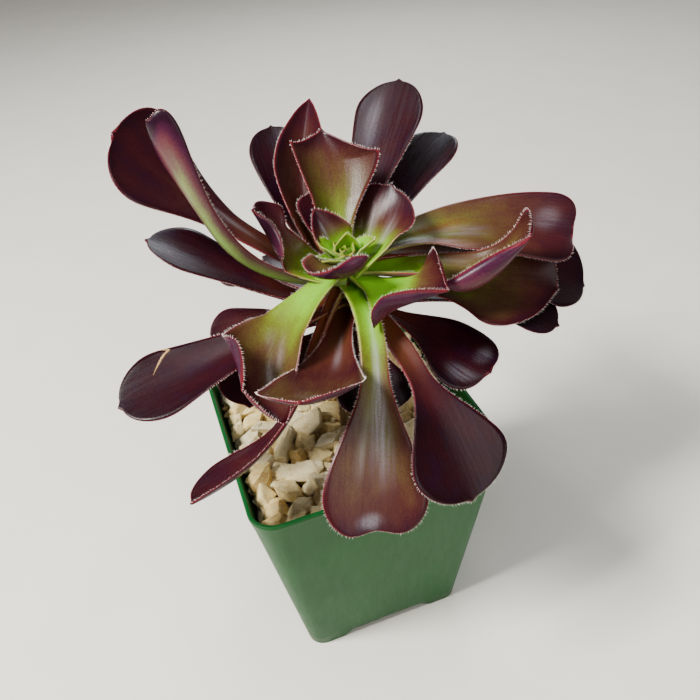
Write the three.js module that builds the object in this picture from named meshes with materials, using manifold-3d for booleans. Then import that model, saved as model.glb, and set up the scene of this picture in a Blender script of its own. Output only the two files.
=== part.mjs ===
// A potted aeonium: a rosette of spoon-shaped succulent leaves on a short stem, in a square tapered
// nursery pot with potting soil and a top dressing of angular stones.
// Millimetres, +Z up, standing on Z = 0. Inside `planting` the pot's axis is X = Y = 0 and the pot's
// sides lie along X and Y. The planting is shifted at the end so that the middle of the whole plan,
// leaves included, is the origin.

import * as THREE from 'three';
import { ConvexGeometry } from 'three/addons/geometries/ConvexGeometry.js';
import { mergeVertices } from 'three/addons/utils/BufferGeometryUtils.js';
import Module from 'manifold-3d';

const wasm = await Module();
wasm.setup();

// ---------------------------------------------------------------- driving dimensions
const pot = {
  rimSide: 100, // outside, across the flats at the rim
  baseSide: 72, // outside, across the flats at the feet
  height: 105,
  rimCorner: 10,
  baseCorner: 7,
  cornerSteps: 6,
  wall: 1.4,
  rimBead: 0.2, // the rim band stands this far out of the wall
  rimBand: 1.5, // height of the rim band
  footHeight: 5.5, // from the ground to the floor's underside
  floor: 1.5,
  archWidth: 44, // between two feet, at the ground
  archSlope: 6, // run of the S curve at each end of an arch
  archHeight: 4.8,
  drainRadius: 4.5,
  drainSpread: 17, // drain holes stand this far from the axis, along X and along Y
  drainSides: 20,
};
const gap = 0.3; // between pieces that touch
const soilTop = 88;
const gravel = {
  slabTop: 93, // the stones' common bed
  crest: 99.6,
  spacing: 12.5, // of the stones, before they are jittered
  jitter: 2.6,
  lift: [1, 3.2], // of a stone's middle above the bed
  clearOfStem: 9, // no stone is centred nearer the stem than this
  long: [11, 17], // smallest and largest stone
  wide: [8, 12],
  thick: [7, 9.5],
  corners: 14, // points a stone's hull is stretched over
  lumpiness: 0.15, // how far a corner may leave the plain oval, in or out
  tilt: 0.45, // radians either way
};
const stem = {
  foot: 72, // lower end, inside the soil
  tip: 175.5,
  sides: 14,
  crown: new THREE.Vector2(6.5, -2), // plan position of the leafy top
  course: [[72, 3, -1], [100, 4, -1.2], [140, 6.5, -2], [176, 6.5, -2]], // [z, x, y]
  girth: [[72, 6.4], [95, 6], [150, 5], [170, 2.6], [172, 1.6], [175.5, 0.7]], // [z, radius]
  rings: [72, 87, 100, 120, 140, 150, 160, 170, 172, 175.5],
};
const leafSkin = {
  stations: 9, // steps along a leaf
  ribs: 2, // steps from the midrib to a margin
  thick: 1.8,
  tipThick: 1.2,
  fullThickWidth: 15, // narrower leaves are thinner in proportion
  fullThickPetiole: 7,
  marginShare: 0.4, // a margin's thickness, as a share of the midrib's
  tipHalfWidth: 1.2,
  point: 1.5, // the small point in the middle of a leaf's tip
  petioleEnd: 0.35, // where along the leaf the blade's thickness is reached
  notchFrom: 0.7, // where along the leaf the tip's dip begins
  shareFrom: 0.3, // where along the leaf the right half begins to differ in width
  shareTo: 0.8,
  skewFrom: 0.4, // where along the leaf the margins begin to be drawn forward or back
  skewTo: 0.8,
  evenShare: 0.4, // 1 spaces the steps evenly, less draws them together near the tip
};
const planShift = new THREE.Vector2(-14.61, 4.03); // the pot's axis, seen from the middle of the plan

// ---------------------------------------------------------------- colours and finishes
const finishes = {
  pot: { color: '#4f7a55', roughness: 0.45 },
  soil: { color: '#3a2a1e', roughness: 0.95 },
  gravel: { color: '#d9c8a0', roughness: 0.9 },
  stem: { color: '#7a6248', roughness: 0.8 },
  outerLeaf: { color: '#4a2428', roughness: 0.35 },
  innerLeaf: { color: '#6a5a2e', roughness: 0.35 },
  budLeaf: { color: '#7fae3a', roughness: 0.4 },
};

// ---------------------------------------------------------------- leaves
// from: [azimuth, height on the stem, elevation] of the leaf's start, degrees and mm.
// tip: where the leaf ends. to: [azimuth, elevation] of its direction there.
// roll: twist about the leaf's own line at base, middle and tip. Positive lifts its left margin.
// cup: how far each margin's edge turns up from flat at base, middle and tip. leftCup: the left
// margin's, where it differs.
// form: the leaf's outline, from the list below. but: where one leaf differs from its form.
const spoon = {
  petiole: 6, // full width at the stem
  flare: 0.25, // where along the leaf the blade begins to widen
  widest: 0.88,
  roundFrom: 0.78, // where the tip's rounding begins
  tipPower: 2.3,
  tipBlunt: 0.5,
  crease: 0.8, // 1 gives a round channel, less gives a sharper fold
  reachStart: 0.35, // pull of the start direction, as a share of the straight length
  reachEnd: 0.35,
  notch: 0, // depth of the dip in the middle of the tip
  skew: 0, // how far the right margin is drawn back along the leaf
  leftSkew: 0, // how far the left margin is drawn forward
  rightShare: 1, // the right half's width towards the tip, as a share of the left half's
  petioleThick: 1.8,
};
const truncate = { ...spoon, petiole: 8, flare: 0.1, widest: 0.9, roundFrom: 0.86 };
const roof = { ...spoon, petiole: 7, tipPower: 1.2, tipBlunt: 0.75, widest: 0.85, roundFrom: 0.8 };
const lance = {
  ...spoon, flare: 0.1, widest: 0.6, roundFrom: 0.55, tipPower: 1.5, tipBlunt: 0.7, crease: 0.5,
};
const bud = {
  ...spoon, petiole: 4, flare: 0, widest: 0.5, roundFrom: 0.4, tipPower: 1.5, tipBlunt: 0.6,
  petioleThick: 1.2,
};

const leaves = [
  { name: 'leaf_front_1', form: spoon, from: [289, 157, 0], tip: [21, -72, 115], to: [277.4, -50],
    width: 40, roll: [0, 0, -8], cup: [50, 30, 15], but: { petiole: 7.6, flare: 0.47 } },
  { name: 'leaf_front_2', form: spoon, from: [275.8, 164, 0], tip: [-13.8, -75, 112.8],
    to: [252, -43.9], width: 35, roll: [2, 0, -8], cup: [50, 25, 5],
    but: { petiole: 8.1, flare: 0.4, roundFrom: 0.8, tipPower: 2.6, notch: 4 } },
  { name: 'leaf_front_3', form: spoon, from: [235.7, 156.2, -31.7], tip: [-28.9, -65.5, 171.2],
    to: [238.7, 45.1], width: 33.9, roll: [0, 5, 9.2], cup: [50.1, 30.1, 25],
    leftCup: [50, 30, 25], but: { petiole: 6.5, flare: 0.12, reachStart: 0.321 } },
  { name: 'leaf_front_4', form: spoon, from: [210.5, 165.3, -34.7], tip: [-65.4, -48.9, 129],
    to: [206, 9], width: 19, roll: [5.7, 26, 24], cup: [79, 53, 43],
    but: { petiole: 5.2, flare: 0.55, reachStart: 0.4, reachEnd: 0.58 } },
  { name: 'leaf_front_5', form: truncate, from: [215.8, 170.2, 7], tip: [-39.7, -33.3, 154],
    to: [251.7, 17.8], width: 32, roll: [8.5, 10.7, -49.7], cup: [61.4, 15.3, 53],
    leftCup: [11.8, 1.8, 29.1],
    but: {
      flare: 0.13, widest: 0.94, roundFrom: 0.91, tipPower: 2.15, tipBlunt: 0.49, crease: 0.87,
      reachStart: 0.311, reachEnd: 0.283, skew: -1.6, leftSkew: 8.9,
    } },
  { name: 'leaf_front_6', form: spoon, from: [192, 153.3, -5], tip: [-80, -16, 148],
    to: [185, -10], width: 27, roll: [0, -15, -20], cup: [50, 30, 10], but: { petiole: 7.5 } },
  { name: 'leaf_front_7', form: spoon, from: [182, 150, 0], tip: [-45, 4, 147], to: [185, -10],
    width: 26, roll: [0, -10, -20], cup: [50, 30, 15], but: { petiole: 7.5 } },
  { name: 'leaf_front_8', form: spoon, from: [208.4, 147, -8.9], tip: [-38.4, -14.4, 131.5],
    to: [245, -41], width: 30.3, roll: [1, -3, -1], cup: [50, 30, 13],
    but: { petiole: 7.5, roundFrom: 0.8 } },
  { name: 'leaf_front_9', form: spoon, from: [270, 148, -25], tip: [2, -40, 133], to: [262, -40],
    width: 28, roll: [0, 0, 0], cup: [50, 30, 15], but: { petiole: 7.5 } },
  { name: 'leaf_right_1', form: spoon, from: [16.3, 167.9, 25.4], tip: [90.9, -13.1, 167.9],
    to: [-28, -9], width: 28.7, roll: [-14, 28.2, 43.9], cup: [80, 12.6, 27],
    leftCup: [80, 11, 27],
    but: {
      petiole: 4.1, flare: 0.13, widest: 0.93, roundFrom: 0.86, tipPower: 2.09, tipBlunt: 0.38,
      skew: -4.2, leftSkew: 4.1,
    } },
  { name: 'leaf_right_2', form: spoon, from: [-4.3, 164.8, -17.7], tip: [61.7, -31.4, 184.5],
    to: [-28.5, 50.4], width: 21, roll: [0.4, 26, -7.6], cup: [39, 122.4, 100],
    leftCup: [84.4, 44.4, 19],
    but: {
      petiole: 5, flare: 0, widest: 0.84, roundFrom: 0.81, crease: 1.63, reachStart: 0.686,
      reachEnd: 0.489, skew: 13.6, leftSkew: 10.9, rightShare: 1.57,
    } },
  { name: 'leaf_right_3', form: spoon, from: [352.9, 158.2, -3], tip: [82.3, -20, 149.1],
    to: [350, -16], width: 39.7, roll: [-6, 22, 38], cup: [57, 24, 26],
    but: {
      petiole: 6.7, flare: 0.23, widest: 0.85, roundFrom: 0.74, tipPower: 2.04, tipBlunt: 0.4,
      skew: 12.2, leftSkew: 2.5,
    } },
  { name: 'leaf_right_4', form: spoon, from: [25.6, 166.5, 30.4], tip: [105.6, -7.3, 138],
    to: [-32.9, -28.8], width: 47.4, roll: [11.2, 14.4, 13.4], cup: [54.8, 13.4, 28],
    leftCup: [37.8, 16.9, 31.8],
    but: {
      petiole: 5.6, flare: 0.45, widest: 0.83, roundFrom: 0.8, tipPower: 1.93, tipBlunt: 0.54,
      reachStart: 0.182, reachEnd: 0.381,
    } },
  { name: 'leaf_right_5', form: spoon, from: [5, 151.2, -6], tip: [79, -28, 139], to: [-42, -25],
    width: 28.5, roll: [0, 4.1, 5], cup: [50, 30, 15], but: { flare: 0.5 } },
  { name: 'leaf_right_6', form: spoon, from: [324, 154, 0.5], tip: [46.2, -36.1, 134.1],
    to: [306, -6], width: 30, roll: [-6.8, 3.2, 10], cup: [50.5, 25, -9], leftCup: [52, 25, -9],
    but: {
      petiole: 6.2, flare: 0.23, widest: 0.8, roundFrom: 0.75, tipPower: 2.24, tipBlunt: 0.37,
      skew: 0.8, leftSkew: 2.4,
    } },
  { name: 'leaf_back_1', form: spoon, from: [65, 159.4, 40], tip: [50.5, 50.5, 213.5],
    to: [50, 40], width: 27.5, roll: [0, 0, 0], cup: [50, 30, 10], but: { petiole: 7.5 } },
  { name: 'leaf_back_2', form: spoon, from: [44, 155.7, 30], tip: [67, 45, 191], to: [30, 14.9],
    width: 29, roll: [0.3, 0, 0], cup: [50, 30.1, 15], leftCup: [50, 30, 15],
    but: { petiole: 7.4 } },
  { name: 'leaf_back_3', form: spoon, from: [112, 153.9, 25], tip: [1, 66, 200], to: [88, 30],
    width: 25, roll: [-1.1, 0, 0], cup: [50, 30, 15], but: { petiole: 7.3 } },
  { name: 'leaf_back_4', form: lance, from: [124.5, 157.8, 29.8], tip: [17, 62, 209],
    to: [60, 40.2], width: 29, roll: [0, 0, 0], cup: [60, 60, 60], but: { petiole: 5.4 } },
  { name: 'leaf_back_5', form: spoon, from: [95, 164, 42], tip: [3.5, 26, 187], to: [85, 30],
    width: 14, roll: [0, 0, 0], cup: [50, 40, 30], but: { petiole: 5 } },
  { name: 'leaf_left_1', form: spoon, from: [147.4, 163, 19.6], tip: [-60.1, 32, 220.1],
    to: [193.5, 31], width: 41.3, roll: [9.3, -24.5, -62.7], cup: [64.5, 12.7, 21],
    leftCup: [39.5, 19.8, 1.1],
    but: {
      petiole: 3.9, flare: 0.44, widest: 0.97, roundFrom: 0.81, tipPower: 2.01, tipBlunt: 0.47,
      reachStart: 0.411, reachEnd: 0.06, skew: -3.6, leftSkew: -1.4,
    } },
  { name: 'leaf_left_2', form: spoon, from: [178.8, 161.2, 13.2], tip: [-47.5, 3.2, 230.9],
    to: [137.7, 64], width: 16.8, roll: [48.5, 69.2, 87.1], cup: [66.1, 34, 44],
    leftCup: [66, 34, 44],
    but: {
      petiole: 6.8, flare: 0.61, widest: 0.97, roundFrom: 0.85, tipPower: 2.72, tipBlunt: 0.41,
      reachStart: 0.5, reachEnd: 0.44, skew: 4.4, leftSkew: 5.9,
    } },
  { name: 'leaf_left_3', form: spoon, from: [168, 155.8, 15], tip: [-57, 15, 189], to: [160, 25],
    width: 26, roll: [0, -5, 0], cup: [50, 30, 15], but: { petiole: 7.5 } },
  { name: 'leaf_left_4', form: spoon, from: [132, 151.5, 28.8], tip: [-34.9, 31.9, 158.1],
    to: [159.7, 2.5], width: 12.2, roll: [3.1, 27, -5.2], cup: [52, 42.3, 3], leftCup: [50, 42, 3],
    but: { petiole: 5.7, flare: 0.24, widest: 0.87, roundFrom: 0.77, tipPower: 2.33 } },
  { name: 'leaf_left_5', form: spoon, from: [122, 149.4, 10], tip: [-15, 40, 158], to: [135, 0],
    width: 18, roll: [0, 0, 0], cup: [50, 30, 15] },
  { name: 'leaf_inner_1', form: roof, from: [91.1, 167.8, 49], tip: [12, 31.5, 207.9],
    to: [76.8, 53.3], width: 29.4, roll: [-8, 12.2, -5.1], cup: [36.4, 54.5, 48],
    leftCup: [39, 55, 48],
    but: {
      flare: 0.08, widest: 0.86, roundFrom: 0.79, tipPower: 0.65, tipBlunt: 0.87, skew: 0.6,
      leftSkew: 6.2, rightShare: 1.47,
    } },
  { name: 'leaf_inner_2', form: spoon, from: [2, 170.5, 27.7], tip: [29.9, 10.8, 190.3],
    to: [51.9, 57.9], width: 25.8, roll: [7.5, -15.7, -3], cup: [42.2, 26.4, 28],
    leftCup: [44, 24, 28],
    but: {
      petiole: 7.8, flare: -0.14, widest: 0.53, roundFrom: 0.54, tipPower: 2.21, tipBlunt: 0.52,
      reachStart: 0.349, reachEnd: 0.351, skew: 3.5, leftSkew: 4.7, rightShare: 1.08,
    } },
  { name: 'leaf_inner_3', form: spoon, from: [165.4, 166.1, 10.3], tip: [-20.5, 10.8, 192.9],
    to: [161, 67], width: 26.4, roll: [7.4, -28, 20], cup: [56, 50, 35], leftCup: [57, 24, 59],
    but: {
      petiole: 6.7, flare: 0.64, widest: 0.75, roundFrom: 0.62, crease: 0.86, reachStart: 0.333,
      reachEnd: 0.349, skew: -4.6, leftSkew: -5.3,
    } },
  { name: 'leaf_inner_4', form: truncate, from: [305.9, 169.3, -26.6], tip: [29.2, -36, 172.8],
    to: [323.9, 32.1], width: 32.9, roll: [-8.2, 9.7, 6.1], cup: [76.6, 3.9, 79],
    leftCup: [23.8, -61.2, 136.9],
    but: {
      petiole: 8.7, flare: 0.31, widest: 0.56, roundFrom: 0.87, tipBlunt: 0.9, crease: 1.1,
      reachStart: 0.453, reachEnd: 0.121, skew: 9.1, leftSkew: -4.3, rightShare: 1.12,
    } },
  { name: 'leaf_bud_1', form: bud, from: [76.8, 172.2, 60.4], tip: [8.1, -3.1, 184.9],
    to: [79.8, 100.9], width: 9, roll: [0.2, 0, 0], cup: [39.6, 40.6, 40], leftCup: [40, 40, 40],
    but: { petiole: 3.6, flare: 0.03, reachEnd: 0.357 } },
  { name: 'leaf_bud_2', form: bud, from: [180, 173.8, 49.7], tip: [-2.6, -0.5, 183.2],
    to: [150, 50.1], width: 9.5, roll: [1.2, 0.4, 0], cup: [40, 40, 40], but: { petiole: 4.1 } },
  { name: 'leaf_bud_3', form: bud, from: [348.6, 171.7, 37.9], tip: [16.8, -4.8, 180],
    to: [340, 21], width: 11.6, roll: [1.6, 0.8, -0.5], cup: [39.5, 40.3, 40],
    leftCup: [40, 40, 40], but: { petiole: 3.8 } },
  { name: 'leaf_bud_4', form: bud, from: [225.9, 171.6, 33.6], tip: [-5, -8.5, 175.7],
    to: [214.3, 40.2], width: 10.6, roll: [-0.9, -8.7, 0], cup: [40.9, 40, 40],
    leftCup: [40, 40, 40],
    but: { petiole: 4.2, flare: -0.01, reachStart: 0.339, reachEnd: 0.351 } },
  { name: 'leaf_bud_5', form: bud, from: [126.3, 170.8, 52.4], tip: [0, 8.6, 189.6],
    to: [118, 52.1], width: 19.9, roll: [2, -11.5, -18.8], cup: [45.7, 47.5, 40],
    leftCup: [50, 50, 40], but: { petiole: 6.5, widest: 0.6, tipPower: 1.3, tipBlunt: 0.7 } },
  { name: 'leaf_bud_6', form: bud, from: [246.3, 173.1, 38.7], tip: [-7, -22.4, 183],
    to: [249.9, 66.5], width: 24.2, roll: [3.5, 1.9, 33.7], cup: [25.3, 56.4, 51],
    leftCup: [10.7, 68.4, 72],
    but: {
      petiole: 5.1, flare: 0.07, widest: 0.64, roundFrom: 0.65, tipPower: 1.57, tipBlunt: 0.79,
      crease: 1.08, reachStart: 0.385, reachEnd: 0.188,
    } },
];

// ---------------------------------------------------------------- small helpers
const smooth = (x) => THREE.MathUtils.smoothstep(x, 0, 1);
const radians = THREE.MathUtils.degToRad;

// Value at x of the line through [x, value] pairs.
function along(pairs, x, column = 1) {
  for (let i = 1; i < pairs.length; i++) {
    const [a, b] = [pairs[i - 1], pairs[i]];
    if (x <= b[0] || i === pairs.length - 1) {
      const t = THREE.MathUtils.clamp((x - a[0]) / (b[0] - a[0]), 0, 1);
      return THREE.MathUtils.lerp(a[column], b[column], t);
    }
  }
}

const threeStop = ([base, middle, tip], q) => along([[0, base], [0.5, middle], [1, tip]], q);

function direction(azimuth, elevation) {
  const [a, e] = [radians(azimuth), radians(elevation)];
  return new THREE.Vector3(Math.cos(a) * Math.cos(e), Math.sin(a) * Math.cos(e), Math.sin(e));
}

function meshGeometry(points, faces) {
  const geometry = new THREE.BufferGeometry();
  const flat = points.flatMap((p) => [p.x, p.y, p.z]);
  geometry.setAttribute('position', new THREE.Float32BufferAttribute(flat, 3));
  geometry.setIndex(faces.flat());
  return geometry;
}

// A solid through rings of equally many points, each ring anticlockwise seen from above.
function loft(rings) {
  const count = rings[0].length;
  const points = rings.flat();
  const faces = [];
  for (let level = 0; level < rings.length - 1; level++) {
    for (let i = 0; i < count; i++) {
      const a = level * count + i;
      const b = level * count + (i + 1) % count;
      faces.push([a, b, b + count], [a, b + count, a + count]);
    }
  }
  const top = (rings.length - 1) * count;
  for (let i = 1; i < count - 1; i++) {
    faces.push([0, i + 1, i], [top, top + i, top + i + 1]);
  }
  return meshGeometry(points, faces);
}

function solidOf(geometry) {
  const bare = geometry.clone();
  bare.deleteAttribute('normal');
  bare.deleteAttribute('uv');
  const merged = mergeVertices(bare);
  const mesh = new wasm.Mesh({
    numProp: 3,
    vertProperties: new Float32Array(merged.attributes.position.array),
    triVerts: new Uint32Array(merged.index.array),
  });
  return new wasm.Manifold(mesh);
}

function geometryOf(solid) {
  const mesh = solid.getMesh();
  const geometry = new THREE.BufferGeometry();
  geometry.setAttribute('position', new THREE.BufferAttribute(mesh.vertProperties, 3));
  geometry.setIndex(new THREE.BufferAttribute(mesh.triVerts, 1));
  return geometry;
}

// ---------------------------------------------------------------- pot, soil and gravel
const wallSide = (z) => {
  const straightRim = pot.rimSide - 2 * pot.rimBead;
  return THREE.MathUtils.lerp(pot.baseSide, straightRim, z / pot.height);
};
const cornerAt = (z) => THREE.MathUtils.lerp(pot.baseCorner, pot.rimCorner, z / pot.height);

// A rounded square about the pot's axis; `inset` is how far it lies inside the outer wall.
function squareRing(z, inset, side = wallSide(z)) {
  const corner = cornerAt(z) - inset;
  const centre = side / 2 - inset - corner;
  const ring = [];
  for (let quarter = 0; quarter < 4; quarter++) {
    const [cx, cy] = [[1, 1], [-1, 1], [-1, -1], [1, -1]][quarter];
    for (let step = 0; step <= pot.cornerSteps; step++) {
      const angle = (quarter + step / pot.cornerSteps) * Math.PI / 2;
      const x = cx * centre + corner * Math.cos(angle);
      const y = cy * centre + corner * Math.sin(angle);
      ring.push(new THREE.Vector3(x, y, z));
    }
  }
  return ring;
}

// The opening between two feet: a low arch whose ends rise in an S curve.
function archCutter(turn) {
  const curveSteps = 5;
  const reach = pot.baseSide;
  const outline = new THREE.Shape();
  outline.moveTo(-pot.archWidth / 2, -1);
  for (let i = 0; i <= curveSteps; i++) {
    const t = i / curveSteps;
    outline.lineTo(-pot.archWidth / 2 + pot.archSlope * t, pot.archHeight * smooth(t));
  }
  for (let i = curveSteps; i >= 0; i--) {
    const t = i / curveSteps;
    outline.lineTo(pot.archWidth / 2 - pot.archSlope * t, pot.archHeight * smooth(t));
  }
  outline.lineTo(pot.archWidth / 2, -1);
  const cutter = new THREE.ExtrudeGeometry(outline, { depth: 2 * reach, bevelEnabled: false });
  cutter.translate(0, 0, -reach);
  cutter.rotateX(Math.PI / 2);
  cutter.rotateZ(turn);
  return solidOf(cutter);
}

function buildPot() {
  const bandFoot = pot.height - pot.rimBand;
  const outside = loft([
    squareRing(0, 0),
    squareRing(bandFoot - pot.rimBead, 0),
    squareRing(bandFoot, 0, pot.rimSide),
    squareRing(pot.height, 0, pot.rimSide),
  ]);
  const cavityFoot = pot.footHeight + pot.floor;
  const cavity = loft([squareRing(cavityFoot, pot.wall), squareRing(pot.height + 1, pot.wall)]);
  const underside = loft([squareRing(-1, pot.wall), squareRing(pot.footHeight, pot.wall)]);
  let solid = solidOf(outside).subtract(solidOf(cavity)).subtract(solidOf(underside));
  for (const turn of [0, Math.PI / 2]) {
    solid = solid.subtract(archCutter(turn));
  }
  for (const sx of [-1, 1]) {
    for (const sy of [-1, 1]) {
      const drain = new THREE.CylinderGeometry(pot.drainRadius, pot.drainRadius, 3 * pot.floor,
        pot.drainSides);
      drain.rotateX(Math.PI / 2);
      drain.translate(sx * pot.drainSpread, sy * pot.drainSpread, pot.footHeight + pot.floor / 2);
      solid = solid.subtract(solidOf(drain));
    }
  }
  return geometryOf(solid);
}

// Stem rings, `extra` wider all round.
function stemRings(heights, extra = 0) {
  return heights.map((z) => {
    const radius = along(stem.girth, z) + extra;
    const ring = [];
    for (let i = 0; i < stem.sides; i++) {
      const angle = i / stem.sides * 2 * Math.PI;
      const x = along(stem.course, z) + radius * Math.cos(angle);
      const y = along(stem.course, z, 2) + radius * Math.sin(angle);
      ring.push(new THREE.Vector3(x, y, z));
    }
    return ring;
  });
}

function stemSocket(from, to) {
  const middle = stem.rings.filter((z) => z > from && z < to);
  return solidOf(loft(stemRings([from, ...middle, to], gap)));
}

function buildSoil() {
  const foot = pot.footHeight + pot.floor + gap;
  const body = loft([squareRing(foot, pot.wall + gap), squareRing(soilTop, pot.wall + gap)]);
  return geometryOf(solidOf(body).subtract(stemSocket(stem.foot - gap, soilTop + 1)));
}

// The same stones on every build: a small repeatable number series in 0..1.
function numberSeries(seed) {
  let state = seed;
  return () => {
    state = (state * 1103515245 + 12345) % 2147483648;
    return state / 2147483648;
  };
}

// A hull over points spread evenly round an oval.
function stoneAt(x, y, z, next) {
  const goldenAngle = Math.PI * (3 - Math.sqrt(5));
  const between = ([low, high]) => THREE.MathUtils.lerp(low, high, next());
  const size = [gravel.long, gravel.wide, gravel.thick].map(between);
  const points = [];
  for (let i = 0; i < gravel.corners; i++) {
    const up = 1 - 2 * (i + 0.5) / gravel.corners;
    const around = i * goldenAngle + next();
    const flat = Math.sqrt(1 - up * up);
    const reach = 0.5 * between([1 - gravel.lumpiness, 1 + gravel.lumpiness]);
    const corner = new THREE.Vector3(flat * Math.cos(around), flat * Math.sin(around), up);
    points.push(corner.multiplyScalar(reach).multiply(new THREE.Vector3(...size)));
  }
  const stone = new ConvexGeometry(points);
  stone.rotateX(between([-gravel.tilt, gravel.tilt]));
  stone.rotateY(between([-gravel.tilt, gravel.tilt]));
  stone.rotateZ(next() * Math.PI);
  stone.translate(x, y, z);
  return stone;
}

function buildGravel() {
  const foot = soilTop + gap;
  const inside = pot.wall + gap;
  const next = numberSeries(7);
  const bed = loft([squareRing(foot, inside), squareRing(gravel.slabTop, inside)]);
  const room = loft([squareRing(foot, inside), squareRing(gravel.crest, inside)]);
  const reach = wallSide(gravel.slabTop) / 2 - inside;
  const perSide = Math.round(2 * reach / gravel.spacing);
  const pitch = 2 * reach / perSide;
  const jitter = () => THREE.MathUtils.lerp(-gravel.jitter, gravel.jitter, next());
  const stemX = along(stem.course, gravel.slabTop);
  const stemY = along(stem.course, gravel.slabTop, 2);
  let solid = solidOf(bed);
  for (let row = 0; row < perSide; row++) {
    for (let column = 0; column < perSide; column++) {
      const stagger = row % 2 ? 0.25 : -0.25;
      const x = -reach + pitch * (column + 0.5 + stagger) + jitter();
      const y = -reach + pitch * (row + 0.5) + jitter();
      const z = gravel.slabTop + THREE.MathUtils.lerp(...gravel.lift, next());
      const stone = stoneAt(x, y, z, next);
      if (Math.hypot(x - stemX, y - stemY) > gravel.clearOfStem) {
        solid = solid.add(solidOf(stone));
      }
    }
  }
  return geometryOf(solid.intersect(solidOf(room)).subtract(stemSocket(foot - 1, gravel.crest + 1)));
}

// ---------------------------------------------------------------- one leaf
// Points along the leaf's middle line, at the share q of its length, with a frame at each.
function leafLine(leaf, steps) {
  const { form } = leaf;
  const [azimuth, height, elevation] = leaf.from;
  const clear = along(stem.girth, height) + gap
    + form.petioleThick / 2 * Math.abs(Math.sin(radians(elevation)));
  const start = new THREE.Vector3(stem.crown.x, stem.crown.y, height)
    .add(direction(azimuth, 0).multiplyScalar(clear));
  const end = new THREE.Vector3(...leaf.tip);
  const straight = start.distanceTo(end);
  const leaving = direction(azimuth, elevation).multiplyScalar(straight * form.reachStart);
  const arriving = direction(...leaf.to).multiplyScalar(straight * form.reachEnd);
  const curve = new THREE.CubicBezierCurve3(start, start.clone().add(leaving),
    end.clone().sub(arriving), end);
  const line = [];
  for (let i = 0; i <= steps; i++) {
    const even = i / steps;
    const q = THREE.MathUtils.lerp(Math.sin(even * Math.PI / 2), even, leafSkin.evenShare);
    const turn = radians(azimuth + (leaf.to[0] - azimuth) * smooth(q));
    const forward = curve.getTangentAt(q);
    const level = new THREE.Vector3(-Math.sin(turn), Math.cos(turn), 0);
    const side = level.addScaledVector(forward, -level.dot(forward)).normalize();
    side.applyAxisAngle(forward, radians(threeStop(leaf.roll, q)));
    const face = new THREE.Vector3().crossVectors(forward, side);
    line.push({ q, point: curve.getPointAt(q), forward, side, face });
  }
  return line;
}

function halfWidth({ width, form }, q) {
  const spread = smooth((q - form.flare) / (form.widest - form.flare));
  const body = (form.petiole + (width - form.petiole) * spread) / 2;
  const tip = THREE.MathUtils.clamp((q - form.roundFrom) / (1 - form.roundFrom), 0, 1);
  return Math.max(leafSkin.tipHalfWidth, body * (1 - tip ** form.tipPower) ** form.tipBlunt);
}

function thickness({ width, form }, q) {
  const blade = Math.min(1, width / leafSkin.fullThickWidth);
  const petiole = form.petioleThick * Math.min(1, form.petiole / leafSkin.fullThickPetiole);
  const middle = [leafSkin.petioleEnd, leafSkin.thick * blade];
  return along([[0, petiole], middle, [1, leafSkin.tipThick * blade]], q);
}

// Where the cupped section lies at the share `s` (0 midrib, 1 margin) of its half width.
function cupped(cup, crease, s) {
  const steps = 24;
  let [out, up] = [0, 0];
  for (let i = 0; i < steps; i++) {
    const angle = cup * (s * (i + 0.5) / steps) ** crease;
    out += Math.cos(angle) * s / steps;
    up += Math.sin(angle) * s / steps;
  }
  return { out, up, angle: cup * s ** crease };
}

function leafGeometry(leaf) {
  const { form } = leaf;
  const steps = leafSkin.stations;
  const across = 2 * leafSkin.ribs;
  const upper = [];
  const lower = [];
  for (const { q, point, forward, side, face } of leafLine(leaf, steps)) {
    const half = halfWidth(leaf, q);
    const dip = form.notch * smooth((q - leafSkin.notchFrom) / (1 - leafSkin.notchFrom));
    const grown = smooth((q - leafSkin.shareFrom) / (leafSkin.shareTo - leafSkin.shareFrom));
    const drawn = smooth((q - leafSkin.skewFrom) / (leafSkin.skewTo - leafSkin.skewFrom))
      * half / (leaf.width / 2);
    for (let j = 0; j <= across; j++) {
      const s = j / leafSkin.ribs - 1;
      const stops = s > 0 && leaf.leftCup ? leaf.leftCup : leaf.cup;
      const section = cupped(radians(threeStop(stops, q)), form.crease, Math.abs(s));
      const reach = s < 0 ? half * (1 + (form.rightShare - 1) * grown) : half;
      const ahead = drawn * s * (s < 0 ? form.skew : form.leftSkew) - dip * (1 - Math.abs(s));
      const middle = point.clone()
        .addScaledVector(side, Math.sign(s) * section.out * reach)
        .addScaledVector(face, section.up * reach)
        .addScaledVector(forward, ahead);
      if (q === 1 && s === 0) {
        middle.addScaledVector(forward, leafSkin.point);
      }
      const outward = face.clone().multiplyScalar(Math.cos(section.angle))
        .addScaledVector(side, -Math.sign(s) * Math.sin(section.angle));
      const thick = thickness(leaf, q) * (1 - (1 - leafSkin.marginShare) * s * s);
      upper.push(middle.clone().addScaledVector(outward, thick / 2));
      lower.push(middle.clone().addScaledVector(outward, -thick / 2));
    }
  }
  return meshGeometry([...upper, ...lower], skinFaces(steps, across));
}

// Faces of a closed skin: an upper and a lower grid joined round their common border.
function skinFaces(steps, across) {
  const row = across + 1;
  const below = (steps + 1) * row;
  const faces = [];
  for (let i = 0; i < steps; i++) {
    for (let j = 0; j < across; j++) {
      const a = i * row + j;
      const [b, c, d] = [a + row, a + row + 1, a + 1];
      faces.push([a, b, c], [a, c, d]);
      faces.push([below + a, below + c, below + b], [below + a, below + d, below + c]);
    }
  }
  const border = [];
  for (let i = 0; i < steps; i++) border.push(i * row);
  for (let j = 0; j < across; j++) border.push(steps * row + j);
  for (let i = steps; i > 0; i--) border.push(i * row + across);
  for (let j = across; j > 0; j--) border.push(j);
  border.forEach((a, i) => {
    const b = border[(i + 1) % border.length];
    faces.push([a, below + a, below + b], [a, below + b, b]);
  });
  return faces;
}

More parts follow.
